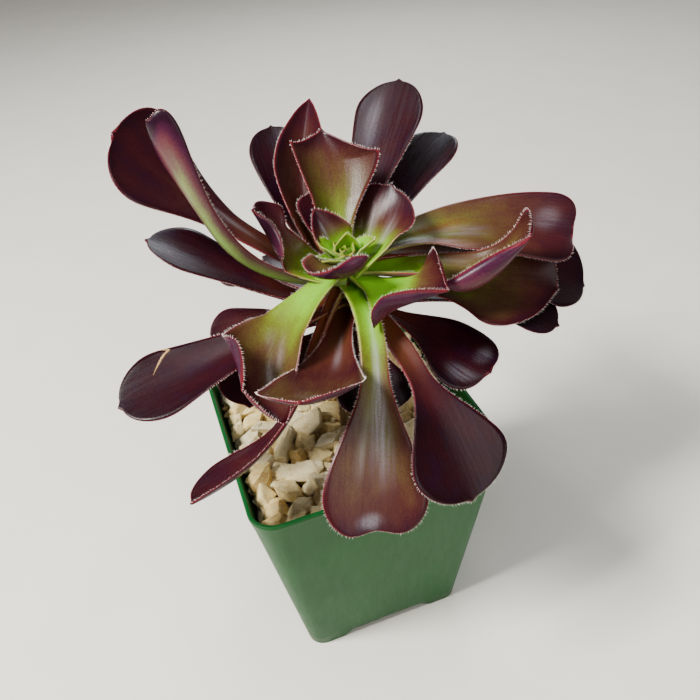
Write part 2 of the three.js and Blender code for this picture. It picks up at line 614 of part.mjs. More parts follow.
// ---------------------------------------------------------------- assembly
const planting = new THREE.Group();
planting.name = 'potted_aeonium';

function place(name, geometry, finish) {
  const material = new THREE.MeshStandardMaterial({ ...finish, metalness: 0 });
  const mesh = new THREE.Mesh(geometry, material);
  geometry.translate(planShift.x, planShift.y, 0);
  mesh.name = name;
  planting.add(mesh);
}

place('pot', buildPot(), finishes.pot);
place('soil', buildSoil(), finishes.soil);
place('gravel', buildGravel(), finishes.gravel);
place('stem', loft(stemRings(stem.rings)).toNonIndexed(), finishes.stem);
for (const row of leaves) {
  const leaf = { ...row, form: { ...row.form, ...row.but } };
  const finish = row.form === bud ? finishes.budLeaf
    : row.name.includes('inner') ? finishes.innerLeaf : finishes.outerLeaf;
  place(row.name, leafGeometry(leaf).toNonIndexed(), finish);
}

export default planting;
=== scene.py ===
"""A potted aeonium: the looks of every leaf, stone and the pot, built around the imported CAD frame.

Lengths in the tables are millimetres from the pot's axis, as in the CAD; they become metres in `metres`.
"""
import math

import bmesh
import bpy
import numpy as np
from mathutils import Matrix, Vector


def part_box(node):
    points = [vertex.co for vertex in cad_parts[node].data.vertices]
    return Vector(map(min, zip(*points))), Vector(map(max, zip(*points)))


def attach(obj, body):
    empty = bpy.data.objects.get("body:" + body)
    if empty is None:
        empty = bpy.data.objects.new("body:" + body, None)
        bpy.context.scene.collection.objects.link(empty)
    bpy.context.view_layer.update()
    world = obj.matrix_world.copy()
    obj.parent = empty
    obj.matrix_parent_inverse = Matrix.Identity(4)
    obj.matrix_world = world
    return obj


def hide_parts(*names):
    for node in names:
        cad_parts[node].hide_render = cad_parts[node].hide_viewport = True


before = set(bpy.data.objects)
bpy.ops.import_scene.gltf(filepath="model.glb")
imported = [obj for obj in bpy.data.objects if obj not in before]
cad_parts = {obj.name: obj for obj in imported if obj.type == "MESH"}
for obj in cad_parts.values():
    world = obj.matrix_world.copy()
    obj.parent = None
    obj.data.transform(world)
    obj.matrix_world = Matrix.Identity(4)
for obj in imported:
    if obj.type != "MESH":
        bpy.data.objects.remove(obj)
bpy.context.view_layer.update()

MM = 0.001
pot_low, pot_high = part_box("pot")
AXIS = (pot_low + pot_high) / 2  # the pot's axis, in plan
POT_HEIGHT = (pot_high.z - pot_low.z) / MM
RIM_SIDE = (pot_high.x - pot_low.x) / MM
BODY = "root"


def metres(points):
    """Points in millimetres from the pot's axis, as metres in the row frame."""
    return np.asarray(points, float) * MM + np.array([AXIS.x, AXIS.y, 0.0])


def smooth(x):
    x = np.clip(x, 0, 1)
    return x * x * (3 - 2 * x)


def unit(vectors):
    return vectors / np.maximum(np.linalg.norm(vectors, axis=1), 1e-6)[:, None]


def travelled(line):
    """The distance along a line of points, at each of them."""
    return np.concatenate([[0], np.cumsum(np.linalg.norm(np.diff(line, axis=0), axis=1))])


def sample(where, run, table):
    """Rows of the table at places along a run."""
    return np.stack([np.interp(where, run, column) for column in table.T], 1)


def grid_faces(rows, columns):
    """Faces between the points of a grid, [row, column]."""
    corners = [i * columns + j for i in range(rows - 1) for j in range(columns - 1)]
    return [(a, a + columns, a + columns + 1, a + 1) for a in corners]


def ring_faces(start, rings, count, inward=False):
    """Faces between closed rings of `count` points each, the first ring from point `start` on."""
    faces = []
    for a in range(start, start + (rings - 1) * count):
        b = a + 1 if (a + 1 - start) % count else a + 1 - count
        faces.append((a, a + count, b + count, b) if inward else (a, b, b + count, a + count))
    return faces


def linear(hex_colour):
    """A colour written as #rrggbb, as the shader's linear values."""
    parts = [int(hex_colour[i:i + 2], 16) / 255 for i in (1, 3, 5)]
    return tuple(p / 12.92 if p <= 0.04045 else ((p + 0.055) / 1.055) ** 2.4 for p in parts) + (1,)


def mesh_piece(name, points, faces, materials, replaces=(), material_index=None):
    """A mesh in the scene that rides on the plant's one body."""
    mesh = bpy.data.meshes.new(name)
    mesh.from_pydata([tuple(p) for p in points], [], [tuple(f) for f in faces])
    for material in materials:
        mesh.materials.append(material)
    if material_index is not None:
        mesh.polygons.foreach_set("material_index", material_index)
    mesh.polygons.foreach_set("use_smooth", [True] * len(mesh.polygons))
    mesh.update()
    piece = bpy.data.objects.new(name, mesh)
    bpy.context.scene.collection.objects.link(piece)
    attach(piece, BODY)
    if replaces:
        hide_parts(*replaces)
    return piece


def point_values(piece, name, values):
    """Stores one number for each point of the mesh, for the shader to read."""
    attribute = piece.data.attributes.new(name, "FLOAT", "POINT")
    attribute.data.foreach_set("value", np.asarray(values, np.float32).ravel())


def point_vectors(piece, name, values):
    attribute = piece.data.attributes.new(name, "FLOAT_VECTOR", "POINT")
    attribute.data.foreach_set("vector", np.asarray(values, np.float32).ravel())


# ---- shader helpers
class Shader:
    """A material's node tree, written as short expressions."""

    def __init__(self, name):
        self.material = bpy.data.materials.new(name)
        self.material.use_nodes = True
        self.tree = self.material.node_tree
        self.tree.nodes.clear()
        self.surface = self.tree.nodes.new("ShaderNodeBsdfPrincipled")
        output = self.tree.nodes.new("ShaderNodeOutputMaterial")
        self.tree.links.new(self.surface.outputs[0], output.inputs["Surface"])

    def put(self, socket, value):
        if isinstance(value, bpy.types.NodeSocket):
            self.tree.links.new(value, socket)
        else:
            socket.default_value = value

    def node(self, kind, output=0, settings=None, **inputs):
        node = self.tree.nodes.new(kind)
        for key, value in (settings or {}).items():
            setattr(node, key, value)
        for key, value in inputs.items():
            name = key.replace("_", " ")
            self.put(node.inputs[name], value)
        return node.outputs[output]

    def math(self, operation, a, b):
        node = self.tree.nodes.new("ShaderNodeMath")
        node.operation = operation
        self.put(node.inputs[0], a)
        self.put(node.inputs[1], b)
        return node.outputs[0]

    def add(self, a, b):
        return self.math("ADD", a, b)

    def times(self, a, b):
        return self.math("MULTIPLY", a, b)

    def spread(self, value, low, high, to_low=0.0, to_high=1.0):
        """value between low and high, carried smoothly to to_low..to_high."""
        node = self.tree.nodes.new("ShaderNodeMapRange")
        node.interpolation_type = "SMOOTHSTEP"
        for socket, number in zip(node.inputs, (value, low, high, to_low, to_high)):
            self.put(socket, number)
        return node.outputs[0]

    def mix(self, factor, a, b):
        node = self.tree.nodes.new("ShaderNodeMix")
        node.data_type = "RGBA"
        self.put(node.inputs[0], factor)
        self.put(node.inputs[6], a)
        self.put(node.inputs[7], b)
        return node.outputs[2]

    def ramp(self, value, stops):
        """Colours at places 0..1: [(place, colour), ...]."""
        node = self.tree.nodes.new("ShaderNodeValToRGB")
        self.put(node.inputs[0], value)
        elements = node.color_ramp.elements
        while len(elements) > 1:
            elements.remove(elements[-1])
        for index, (place, colour) in enumerate(stops):
            element = elements[0] if index == 0 else elements.new(place)
            element.position = place
            element.color = linear(colour)
        return node.outputs[0]

    def value(self, name):
        return self.node("ShaderNodeAttribute", 2, {"attribute_name": name})

    def vector(self, name):
        return self.node("ShaderNodeAttribute", 1, {"attribute_name": name})

    def scaled(self, vector, scale):
        node = self.tree.nodes.new("ShaderNodeMapping")
        self.put(node.inputs["Vector"], vector)
        node.inputs["Scale"].default_value = scale
        return node.outputs[0]

    def place(self):
        """Position on the piece in millimetres."""
        where = self.node("ShaderNodeTexCoord", 3)
        return self.scaled(where, (1 / MM, 1 / MM, 1 / MM))

    def noise(self, vector, scale, detail=3.0, roughness=0.55):
        return self.node("ShaderNodeTexNoise", 0, Vector=vector, Scale=scale, Detail=detail,
                         Roughness=roughness)

    def finish(self, colour, roughness, bump=None, bump_height=0.1, **sockets):
        self.put(self.surface.inputs["Base Color"], colour)
        self.put(self.surface.inputs["Roughness"], roughness)
        for key, value in sockets.items():
            self.put(self.surface.inputs[key.replace("_", " ")], value)
        if bump is not None:
            node = self.tree.nodes.new("ShaderNodeBump")
            node.inputs["Distance"].default_value = bump_height * MM
            self.put(node.inputs["Height"], bump)
            self.put(self.surface.inputs["Normal"], node.outputs[0])
        return self.material


# ---- leaf outlines
# petiole: full width at the stem. flare, widest: where the blade begins and stops widening, as shares
# of the length. round_from, tip_power, tip_blunt: the tip's rounding. crease: 1 gives a round
# channel, less gives a sharper fold. start_pull, end_pull: how far the end directions reach.
# notch: depth of a dent in the tip. thick: thickness near the stem. lip: length of the tip's small point.
SPOON = dict(petiole=9, flare=0.25, widest=0.88, round_from=0.78, tip_power=2.3, tip_blunt=0.5,
             crease=0.8, start_pull=0.35, end_pull=0.35, notch=0, thick=1.8, lip=1.2)
LANCE = dict(SPOON, flare=0.1, widest=0.6, round_from=0.55, tip_power=1.5, tip_blunt=0.7, crease=0.5)
BUD = dict(SPOON, petiole=5, flare=0, widest=0.5, round_from=0.4, tip_power=1.5, tip_blunt=0.6,
           thick=1.2, lip=0.6)

LEAVES = []

# ripe: (share of the length, colour place) pairs on the leaf's green-to-black scale: 0 lime, 0.3 olive,
# 0.5 brown, 0.7 maroon, 1 near black. under: the same for the lower side. edge: how much riper the
# leaf is beside its margin. rust: how many red specks the petiole has. rust_spots: patches of red specks;
# the sheen patches: painted highlight, pale patches painted where the lamps' gloss falls, and on
# leaf_right_1 painted light on its shaded lower edge. Each patch is (across, along, reach across, reach
# along, strength). across runs from -1 at the right margin to 1 at the left one, along from 0 at the
# stem to 1 at the tip.
BUD_PAINT = dict(ripe=((0, 0), (0.6, 0.04), (1, 0.22)), under=((0, 0), (0.6, 0.1), (1, 0.3)), edge=0.05)
NIGHT = dict(ripe=((0, 0.5), (0.35, 0.78), (1, 0.92)), under=((0, 0.4), (0.4, 0.7), (1, 0.9)), rust=0.5)
BLACK = dict(NIGHT, ripe=((0, 0.55), (0.3, 0.9), (1, 0.98)))
WINE = dict(ripe=((0, 0.35), (0.3, 0.5), (0.6, 0.7), (1, 0.8)),
            under=((0, 0.2), (0.35, 0.5), (0.6, 0.7), (1, 0.8)), rust=0.7)
BRONZE = dict(under=((0, 0.05), (0.35, 0.3), (0.6, 0.6), (1, 0.75)))  # each leaf has its own ripe


def leaf(name, form, start, tip, end, width, roll, cup, paint, **but):
    """start: azimuth, height on the stem and elevation of the leaf's beginning. end: azimuth and
    elevation at its tip. roll, cup: twist, and how far the margins turn up, at base, middle and tip.
    left_cup: the left half's own cup. skew, left_skew: how far the right margin stands back and the
    left one ahead. right_share: the right half's width next to the left's. heart: a tiny leaflet in
    the middle of the bud, which has no solid of its own in the CAD."""
    row = dict(form, edge=0.1, rust=0, rust_spots=(), wax=(), skew=0, left_skew=0, right_share=1,
               heart=False) | paint
    row.update(name=name, start=start, tip=tip, end=end, width=width, roll=roll, cup=cup, left_cup=cup)
    row.update(but)
    LEAVES.append(row)


leaf("leaf_front_1", SPOON, (289, 157, 0), (21, -72, 115), (277, -50), 40,
     (0, 0, -8), (50, 30, 15), WINE, flare=0.47, rust=0.9,
     ripe=((0, 0.38), (0.3, 0.52), (0.5, 0.66), (0.65, 0.82), (1, 0.92)))
leaf("leaf_front_2", SPOON, (275, 164, 0), (-13.8, -75, 112.8), (252, -45), 35,
     (0, 0, -8), (50, 25, 5), BRONZE, petiole=9.5, flare=0.4, round_from=0.8, tip_power=2.6, notch=4, lip=0,
     ripe=((0, 0), (0.25, 0.08), (0.38, 0.28), (0.52, 0.44), (0.75, 0.54), (1, 0.68)), edge=0.16,
     wax=((0.15, 0.5, 0.32, 0.24, 1), (-0.35, 0.66, 0.1, 0.12, 0.5), (-0.15, 0.96, 0.3, 0.03, 0.6)))
leaf("leaf_front_3", SPOON, (236, 157, -30), (-29, -65, 171), (240, 45), 34,
     (0, 5, 10), (50, 30, 25), WINE, flare=0.1, rust=0.35,
     ripe=((0, 0.5), (0.3, 0.6), (0.55, 0.64), (0.7, 0.56), (1, 0.54)),
     wax=((0.2, 0.32, 0.2, 0.12, 0.45),))
leaf("leaf_front_4", SPOON, (212.6, 164.9, -34.7), (-65.4, -48.9, 129), (206, 9), 19,
     (4, 26, 24), (79, 53, 43), WINE, petiole=6.2, flare=0.55, start_pull=0.4, end_pull=0.58,
     ripe=((0, 0.4), (0.35, 0.48), (0.55, 0.66), (1, 0.78)), rust=1)
leaf("leaf_front_5", SPOON, (209.5, 170.2, -0.4), (-40.6, -32.3, 154.4), (240, 20), 36.6,
     (5, 6, -68), (50, 4, 53), BRONZE, petiole=8.2, flare=0.04, widest=0.94, round_from=0.91,
     tip_power=2.15, tip_blunt=0.49, crease=0.87, left_cup=(32, 48, 62), skew=-1.6, left_skew=8.9,
     ripe=((0, 0), (0.3, 0.07), (0.45, 0.25), (0.62, 0.44), (0.85, 0.6), (1, 0.75)))
leaf("leaf_front_6", SPOON, (192, 157, -5), (-80, -16, 148), (185, -10), 27,
     (0, -15, -20), (50, 30, 10), WINE, ripe=((0, 0.5), (0.3, 0.66), (0.7, 0.88), (1, 0.94)))
leaf("leaf_front_7", SPOON, (182, 151, 0), (-45, 4, 147), (185, -10), 26,
     (0, -10, -20), (50, 30, 15), NIGHT, ripe=((0, 0.5), (1, 0.78)))
leaf("leaf_front_8", SPOON, (208.4, 147, -8.9), (-38.4, -14.4, 131.5), (245, -41), 30.3,
     (1, -3, -1), (50, 30, 13), NIGHT, round_from=0.8, ripe=((0, 0.5), (1, 0.76)))
leaf("leaf_front_9", SPOON, (270, 148, -25), (2, -40, 133), (262, -40), 28,
     (0, 0, 0), (50, 30, 15), NIGHT)
leaf("leaf_right_1", SPOON, (15.6, 167.1, 23.3), (91, -13, 168), (-28, -9), 28.3,
     (-14, 28, 43), (80, 11, 27), BRONZE, petiole=13.2, flare=0.13, widest=0.93, round_from=0.86,
     tip_power=2.09, tip_blunt=0.38, skew=-4.2, left_skew=4.1,
     ripe=((0, 0.14), (0.2, 0.3), (0.5, 0.43), (0.7, 0.54), (0.85, 0.68), (1, 0.8)),
     wax=((0.3, 0.88, 0.3, 0.05, 0.3), (-0.2, 0.5, 0.25, 0.12, 0.4), (0.4, 0.3, 0.2, 0.1, 0.4),
          # the last sheen patch is painted light on the leaf's shaded lower edge
          (-0.85, 0.3, 0.3, 0.2, 1.1)),
     rust_spots=((-0.85, 0.3, 0.3, 0.2, 1.2), (0.1, 0.42, 0.3, 0.12, 0.5)))
leaf("leaf_right_2", SPOON, (-11.5, 168.6, -5.6), (62, -30.2, 181.5), (-42, 62), 27.6,
     (-3, 12, -10), (42, 129, 100), BRONZE, petiole=9.7, flare=0.02, widest=0.84, round_from=0.81,
     crease=1.63, start_pull=0.57, end_pull=0.53, left_cup=(58, 43, 102), skew=13.6, left_skew=10.9,
     right_share=1.57,
     ripe=((0, 0), (0.2, 0.06), (0.36, 0.24), (0.5, 0.42), (0.75, 0.5), (1, 0.7)),
     under=((0, 0.1), (0.3, 0.45), (0.6, 0.55), (0.85, 0.62), (1, 0.72)))
leaf("leaf_right_3", SPOON, (352.9, 158.2, -3), (82.3, -20, 149.1), (350, -16), 39.7,
     (-6, 22, 38), (57, 24, 26), BRONZE, petiole=7.9, flare=0.23, widest=0.85, round_from=0.74,
     tip_power=2.04, tip_blunt=0.4, skew=12.2, left_skew=2.5,
     ripe=((0, 0.3), (0.4, 0.38), (0.6, 0.44), (0.8, 0.54), (1, 0.72)), edge=0.2)
leaf("leaf_right_4", SPOON, (19.4, 170.1, 20.1), (105.1, -6.5, 136.8), (-27, -32), 46.9,
     (14, 17, 15), (48, 12, 28), NIGHT, petiole=7.6, flare=0.47, widest=0.83, round_from=0.8,
     tip_power=1.93, tip_blunt=0.54, start_pull=0.13, end_pull=0.36,
     ripe=((0, 0.42), (0.4, 0.52), (0.6, 0.8), (1, 0.9)), rust=1)
leaf("leaf_right_5", SPOON, (5, 152, -6), (79, -28, 139), (-42, -25), 28,
     (0, 5, 5), (50, 30, 15), BLACK, petiole=7, flare=0.5)
leaf("leaf_right_6", SPOON, (325.3, 153.4, -0.1), (46.2, -36.1, 133.9), (306, -6), 30,
     (-7, 4, 10), (52, 25, -9), NIGHT, petiole=7.3, flare=0.23, widest=0.8, round_from=0.75, tip_power=2.24,
     tip_blunt=0.37, skew=0.8, left_skew=2.4,
     wax=((-0.5, 0.85, 0.22, 0.1, 0.4), (0.4, 0.9, 0.3, 0.05, 0.3)))
leaf("leaf_back_1", SPOON, (65, 159.4, 40), (50.5, 50.5, 213.5), (50, 40), 27.5,
     (0, 0, 0), (50, 30, 10), NIGHT, wax=((0.45, 0.78, 0.2, 0.12, 0.4),))
leaf("leaf_back_2", SPOON, (44, 156.5, 30), (67, 45, 191), (30, 15), 29,
     (0, 0, 0), (50, 30, 15), BLACK)
leaf("leaf_back_3", SPOON, (112, 155.5, 25), (1, 66, 200), (88, 30), 25,
     (0, 0, 0), (50, 30, 15), BLACK)
leaf("leaf_back_4", LANCE, (125, 161.2, 30), (17, 62, 209), (60, 40), 29,
     (0, 0, 0), (60, 60, 60), WINE, ripe=((0, 0.35), (0.4, 0.6), (1, 0.7)))
leaf("leaf_back_5", SPOON, (95, 164, 42), (3.5, 26, 187), (85, 30), 14,
     (0, 0, 0), (50, 40, 30), WINE, petiole=6)
leaf("leaf_left_1", SPOON, (149.2, 161.3, 24.2), (-58.2, 30.5, 220.7), (180, 22), 44,
     (21, -14, -43), (70, -1, 21), WINE, petiole=10.9, flare=0.44, widest=0.97, round_from=0.81,
     tip_power=2.01, tip_blunt=0.47, start_pull=0.43, end_pull=0.01, skew=-3.6, left_skew=-1.4,
     ripe=((0, 0.45), (0.4, 0.6), (0.7, 0.72), (1, 0.78)), wax=((-0.1, 0.5, 0.2, 0.12, 0.5),))
leaf("leaf_left_2", SPOON, (168.7, 163.5, 10.1), (-47.5, 3.3, 230.9), (138, 64), 16.8,
     (36, 69, 87), (66, 34, 44), BRONZE, petiole=8.3, flare=0.61, widest=0.97, round_from=0.85,
     tip_power=2.72, tip_blunt=0.41, start_pull=0.5, end_pull=0.44, skew=4.4, left_skew=5.9,
     ripe=((0, 0.1), (0.4, 0.5), (1, 0.7)),
     under=((0, 0), (0.5, 0), (0.66, 0.08), (0.8, 0.3), (0.9, 0.52), (1, 0.75)), edge=0.6)
leaf("leaf_left_3", SPOON, (168, 152.9, 15), (-57, 15, 189), (160, 25), 26,
     (0, -5, 0), (50, 30, 15), NIGHT)
leaf("leaf_left_4", SPOON, (133.3, 151.3, 28), (-34.8, 32, 157.9), (160, 6), 12.3,
     (2, 27, -7), (50, 42, 3), NIGHT, petiole=10.4, flare=0.24, widest=0.87, round_from=0.77,
     tip_power=2.33)
leaf("leaf_left_5", SPOON, (122, 151.4, 10), (-15, 40, 158), (135, 0), 18,
     (0, 0, 0), (50, 30, 15), NIGHT, petiole=7)
leaf("leaf_inner_1", SPOON, (91, 167, 55.3), (12, 31, 207.9), (78, 54), 29.4,
     (-10, 11, -5), (39, 55, 48), BRONZE, petiole=9.2, flare=0.08, widest=0.86, round_from=0.79,
     tip_power=0.65, tip_blunt=0.87, skew=0.6, left_skew=6.2, right_share=1.47,
     ripe=((0, 0), (0.25, 0.16), (0.45, 0.36), (0.65, 0.48), (0.85, 0.58), (1, 0.74)), edge=0.16)
leaf("leaf_inner_2", SPOON, (1.6, 167.2, 28.2), (29.9, 10.8, 190.3), (53, 56), 28.7,
     (4, -15, -3), (44, 24, 28), BRONZE, petiole=11.6, flare=-0.14, widest=0.53, round_from=0.54,
     tip_power=2.21, tip_blunt=0.52, skew=3.5, left_skew=4.7, right_share=1.08,
     ripe=((0, 0), (0.3, 0.08), (0.45, 0.25), (0.62, 0.58), (0.85, 0.72), (1, 0.8)),
     wax=((0.35, 0.58, 0.13, 0.2, 0.6), (-0.3, 0.5, 0.16, 0.22, 0.7)))
leaf("leaf_inner_3", SPOON, (167.4, 164.7, 10.3), (-20.5, 10.8, 192.9), (161, 69), 26.4,
     (6, -28, 20), (56, 50, 35), BRONZE, petiole=16, flare=0.65, widest=0.75, round_from=0.62, crease=0.86,
     left_cup=(57, 24, 59), skew=-4.6, left_skew=-5.3,
     ripe=((0, 0), (0.3, 0.12), (0.5, 0.4), (0.7, 0.62), (1, 0.75)))
leaf("leaf_inner_4", SPOON, (300.4, 169.3, -28.1), (30.7, -32.9, 171.7), (297, 23), 34.4,
     (-13, 18, 5), (68, 2, 79), BRONZE, petiole=10.6, flare=0.22, widest=0.56, round_from=0.87,
     tip_blunt=0.9, crease=1.1, start_pull=0.44, end_pull=0.25, left_cup=(57, -65, 109), skew=9.1,
     left_skew=-4.3, right_share=1.12,
     ripe=((0, 0), (0.4, 0.03), (0.58, 0.15), (0.72, 0.5), (0.9, 0.68), (1, 0.75)),
     wax=((-0.2, 0.82, 0.12, 0.07, 0.6),))
leaf("leaf_bud_1", BUD, (80, 171.5, 60), (7.5, -3, 184), (80, 100), 12,
     (0, 0, 0), (40, 40, 40), BUD_PAINT)
leaf("leaf_bud_2", BUD, (180, 173, 50), (-3, 0, 183), (150, 50), 10,
     (0, 0, 0), (40, 40, 40), BUD_PAINT)
leaf("leaf_bud_3", BUD, (350, 171.5, 40), (16.5, -5.5, 180.5), (340, 25), 12,
     (0, 0, 0), (40, 40, 40), BUD_PAINT)
leaf("leaf_bud_4", BUD, (225, 172, 35), (-5, -8, 179), (215, 40), 12,
     (0, 0, 0), (40, 40, 40), BUD_PAINT)
leaf("leaf_bud_5", BUD, (126, 171, 55), (0, 8.5, 189.5), (120, 50), 20,
     (0, -10, -20), (50, 50, 40), BRONZE, petiole=8, widest=0.6, tip_power=1.3, tip_blunt=0.7,
     ripe=((0, 0), (0.4, 0.08), (0.55, 0.4), (0.75, 0.66), (1, 0.75)),
     wax=((0.2, 0.65, 0.15, 0.16, 0.7),))
leaf("leaf_bud_6", BUD, (244.8, 173, 19.1), (-4.3, -22.8, 183.6), (248, 74), 25.8,
     (2, -10, 22), (37, 54, 51), BRONZE, petiole=7.8, flare=0.03, widest=0.64, round_from=0.65,
     tip_power=1.57, tip_blunt=0.79, crease=1.08, left_cup=(53, 77, 64),
     ripe=((0, 0.1), (0.4, 0.4), (1, 0.7)), under=((0, 0), (0.3, 0.3), (0.6, 0.6), (1, 0.75)))

HEART_LEAFLETS = [  # (azimuth, height on the stem, tip, width)
    (20, 173, (9.4, -2.8, 180.2), 9.5),
    (75, 173, (7.0, -0.2, 181), 9.5),
    (140, 173, (3, -1.2, 180.8), 9.5),
    (200, 173, (1.6, -5, 179.6), 9),
    (265, 173, (4.8, -7.6, 178.4), 9),
    (320, 173, (8.6, -6.6, 178.8), 9),
    (45, 174.5, (6.3, -3.1, 179.6), 6.5),
    (170, 174.5, (4.2, -3.9, 179.3), 6.5),
    (290, 174.5, (5.8, -5, 179), 6.5),
]
for number, (azimuth, height, tip, width) in enumerate(HEART_LEAFLETS, 1):
    leaf(f"bud_heart_{number}", BUD, (azimuth, height, 30), tip, (azimuth, 72), width,
         (0, 0, 0), (30, 45, 45), BUD_PAINT, petiole=3.5, tip_power=1.6, tip_blunt=0.75, thick=0.7,
         lip=0.3, heart=True)

CROWN = np.array([6.5, -2.0])  # plan position of the leafy top of the stem
STEM_COURSE = np.array([[72, 3, -1], [100, 4, -1.2], [140, 6.5, -2], [176, 6.5, -2]])  # z, x, y
STEM_GIRTH = np.array([[72, 6.4], [95, 6], [150, 5], [170, 2.6], [172, 1.6], [175.5, 0.7]])  # z, radius


def stem_radius(z):
    return np.interp(z, STEM_GIRTH[:, 0], STEM_GIRTH[:, 1])


# ---- leaf colours
UPPER = [(0, "#6fb41c"), (0.14, "#6c981a"), (0.28, "#5c6c1a"), (0.4, "#504a1c"), (0.5, "#48321c"),
         (0.6, "#3e1e18"), (0.72, "#320e14"), (0.86, "#24060e"), (1, "#160308")]
LOWER = [(0, "#8cb85c"), (0.25, "#748048"), (0.42, "#5e4640"), (0.58, "#562830"), (0.75, "#3e162c"),
         (1, "#200818")]
MARGIN = [(0, "#86b436"), (0.3, "#8a8c34"), (0.5, "#6e2024"), (0.8, "#5c0e1c"), (1, "#3c0a14")]


def leaf_material():
    s = Shader("aeonium_leaf")
    ripe, edge, upper_side, flat = s.value("ripe"), s.value("edge"), s.value("upper"), s.vector("flat")
    streaks = s.noise(s.scaled(flat, (0.8, 0.05, 1)), 1.0, 4)
    blotches = s.noise(s.scaled(flat, (0.16, 0.09, 1)), 1.0, 2)
    specks = s.noise(flat, 1.5, 3, 0.7)
    fine = s.noise(s.scaled(flat, (3, 1.6, 1)), 1.0, 2, 0.6)
    wander = 0.0
    for pattern, share in ((streaks, 0.12), (blotches, 0.24), (specks, 0.34), (fine, 0.2)):
        wander = s.add(wander, s.times(s.add(pattern, -0.5), share))
    stage = s.add(ripe, wander)
    colour = s.mix(upper_side, s.ramp(stage, LOWER), s.ramp(stage, UPPER))
    rust = s.value("rust")
    colour = s.mix(s.times(rust, 0.4), colour, linear("#76502a"))
    dots = s.spread(s.add(specks, s.times(fine, 0.3)), 0.6, 0.7)
    colour = s.mix(s.times(dots, rust), colour, linear("#6c1c0e"))
    # Painted sheen: dark violet blotches on the ripest parts stand in for the violet reflection on the dark
    # leaves.
    violet_sheen = s.times(s.times(s.spread(blotches, 0.45, 0.7), s.spread(ripe, 0.6, 0.8)), 0.25)
    colour = s.mix(violet_sheen, colour, linear("#260e28"))
    # Painted highlight: pale grey sheen patches, broken up by the grain, stand in for the lamps' gloss on
    # the leaves.
    grain = s.add(s.times(streaks, 0.45), s.add(s.times(specks, 0.3), s.times(fine, 0.25)))
    waxy = s.times(s.spread(grain, 0.36, 0.62, 0.1), s.value("wax"))
    colour = s.mix(s.times(waxy, 0.42), colour, linear("#b4b4be"))
    colour = s.mix(s.spread(edge, 0.34, 0.12), colour, s.ramp(stage, MARGIN))
    roughness = s.spread(s.add(s.times(streaks, 0.5), s.times(fine, 0.5)), 0.35, 0.65, 0.22, 0.36)
    relief = s.add(s.times(streaks, 0.35), s.add(s.times(fine, 0.25), s.times(specks, 0.2)))
    return s.finish(colour, roughness, relief, 0.16, Specular_IOR_Level=0.18)


def hair_material():
    s = Shader("cilia")
    tint = s.noise(s.place(), 0.2)
    colour = s.ramp(tint, [(0.3, "#f6f2ea"), (0.7, "#e8d4d0")])
    return s.finish(colour, 0.5, Specular_IOR_Level=0.3)


# ---- leaf shape
STATIONS = 60  # steps along each leaf
RIBS = 9  # steps from the middle to each margin
COURSE_STEPS = 300
SECTION_STEPS = 24
CLASP = 1.4  # how much wider the foot of a leaf is on each side
CLASP_REACH = 0.16
LEAST_HALF_WIDTH = 0.05
RIPPLE = 0.5  # height of the waves in the margin
NOTCH_WIDTH = 7
LIP_WIDTH = 1.6
LIP_REACH = 3
EDGE_REACH = 6  # how far in from the margin a leaf is riper
LEAF_SEED = 100
FOOT_SWELL = 1.3
BLADE_THICK = 1.7
TIP_THICK = 1.2
FULL_THICKNESS_FROM = 15  # leaves narrower than this are thinner too
MARGIN_THICKNESS = 0.28  # as a share of the middle's
CILIA_PITCH = 0.8
CILIA_START = 3.0
CILIA_LENGTH = 1.05
CILIA_RADIUS = 0.11
HEART_CILIA = 2
PATTERN_SHIFT = 37.0  # sets each leaf's colour pattern apart from the others'


def direction(azimuth, elevation):
    a, e = np.radians(azimuth), np.radians(elevation)
    return np.array([np.cos(a) * np.cos(e), np.sin(a) * np.cos(e), np.sin(e)])


def three_stops(values, q):
    return np.interp(q, [0, 0.5, 1], values)


def centre_line(row, q):
    """Points on the leaf's middle line and the forward, side and face directions there."""
    azimuth, height, elevation = row["start"]
    inside_stem = direction(azimuth, 0) * stem_radius(height) * 0.5
    start = np.array([*CROWN, height]) + inside_stem
    end = np.array(row["tip"], float)
    reach = np.linalg.norm(end - start)
    control = [start, start + direction(azimuth, elevation) * reach * row["start_pull"],
               end - direction(*row["end"]) * reach * row["end_pull"], end]
    t = np.linspace(0, 1, COURSE_STEPS + 1)[:, None]
    curve = ((1 - t) ** 3 * control[0] + 3 * (1 - t) ** 2 * t * control[1]
             + 3 * (1 - t) * t ** 2 * control[2] + t ** 3 * control[3])
    run = travelled(curve)
    at = lambda share: sample(share * run[-1], run, curve)
    forward = unit(at(np.minimum(q + 0.004, 1)) - at(np.maximum(q - 0.004, 0)))
    turn = np.radians(azimuth + (row["end"][0] - azimuth) * smooth(q))
    level = np.stack([-np.sin(turn), np.cos(turn), 0 * turn], 1)
    side = unit(level - (level * forward).sum(1)[:, None] * forward)
    face = np.cross(forward, side)
    roll = np.radians(three_stops(row["roll"], q))[:, None]
    return (at(q), forward, side * np.cos(roll) + face * np.sin(roll),
            face * np.cos(roll) - side * np.sin(roll), run[-1])


def half_width(row, q):
    spread = smooth((q - row["flare"]) / (row["widest"] - row["flare"]))
    body = (row["petiole"] + (row["width"] - row["petiole"]) * spread) / 2
    tip = np.clip((q - row["round_from"]) / (1 - row["round_from"]), 0, 1)
    clasp = CLASP * np.clip(1 - q / CLASP_REACH, 0, 1) ** 2
    rounding = (1 - tip ** row["tip_power"]) ** row["tip_blunt"]
    return np.maximum((body + clasp) * rounding, LEAST_HALF_WIDTH)


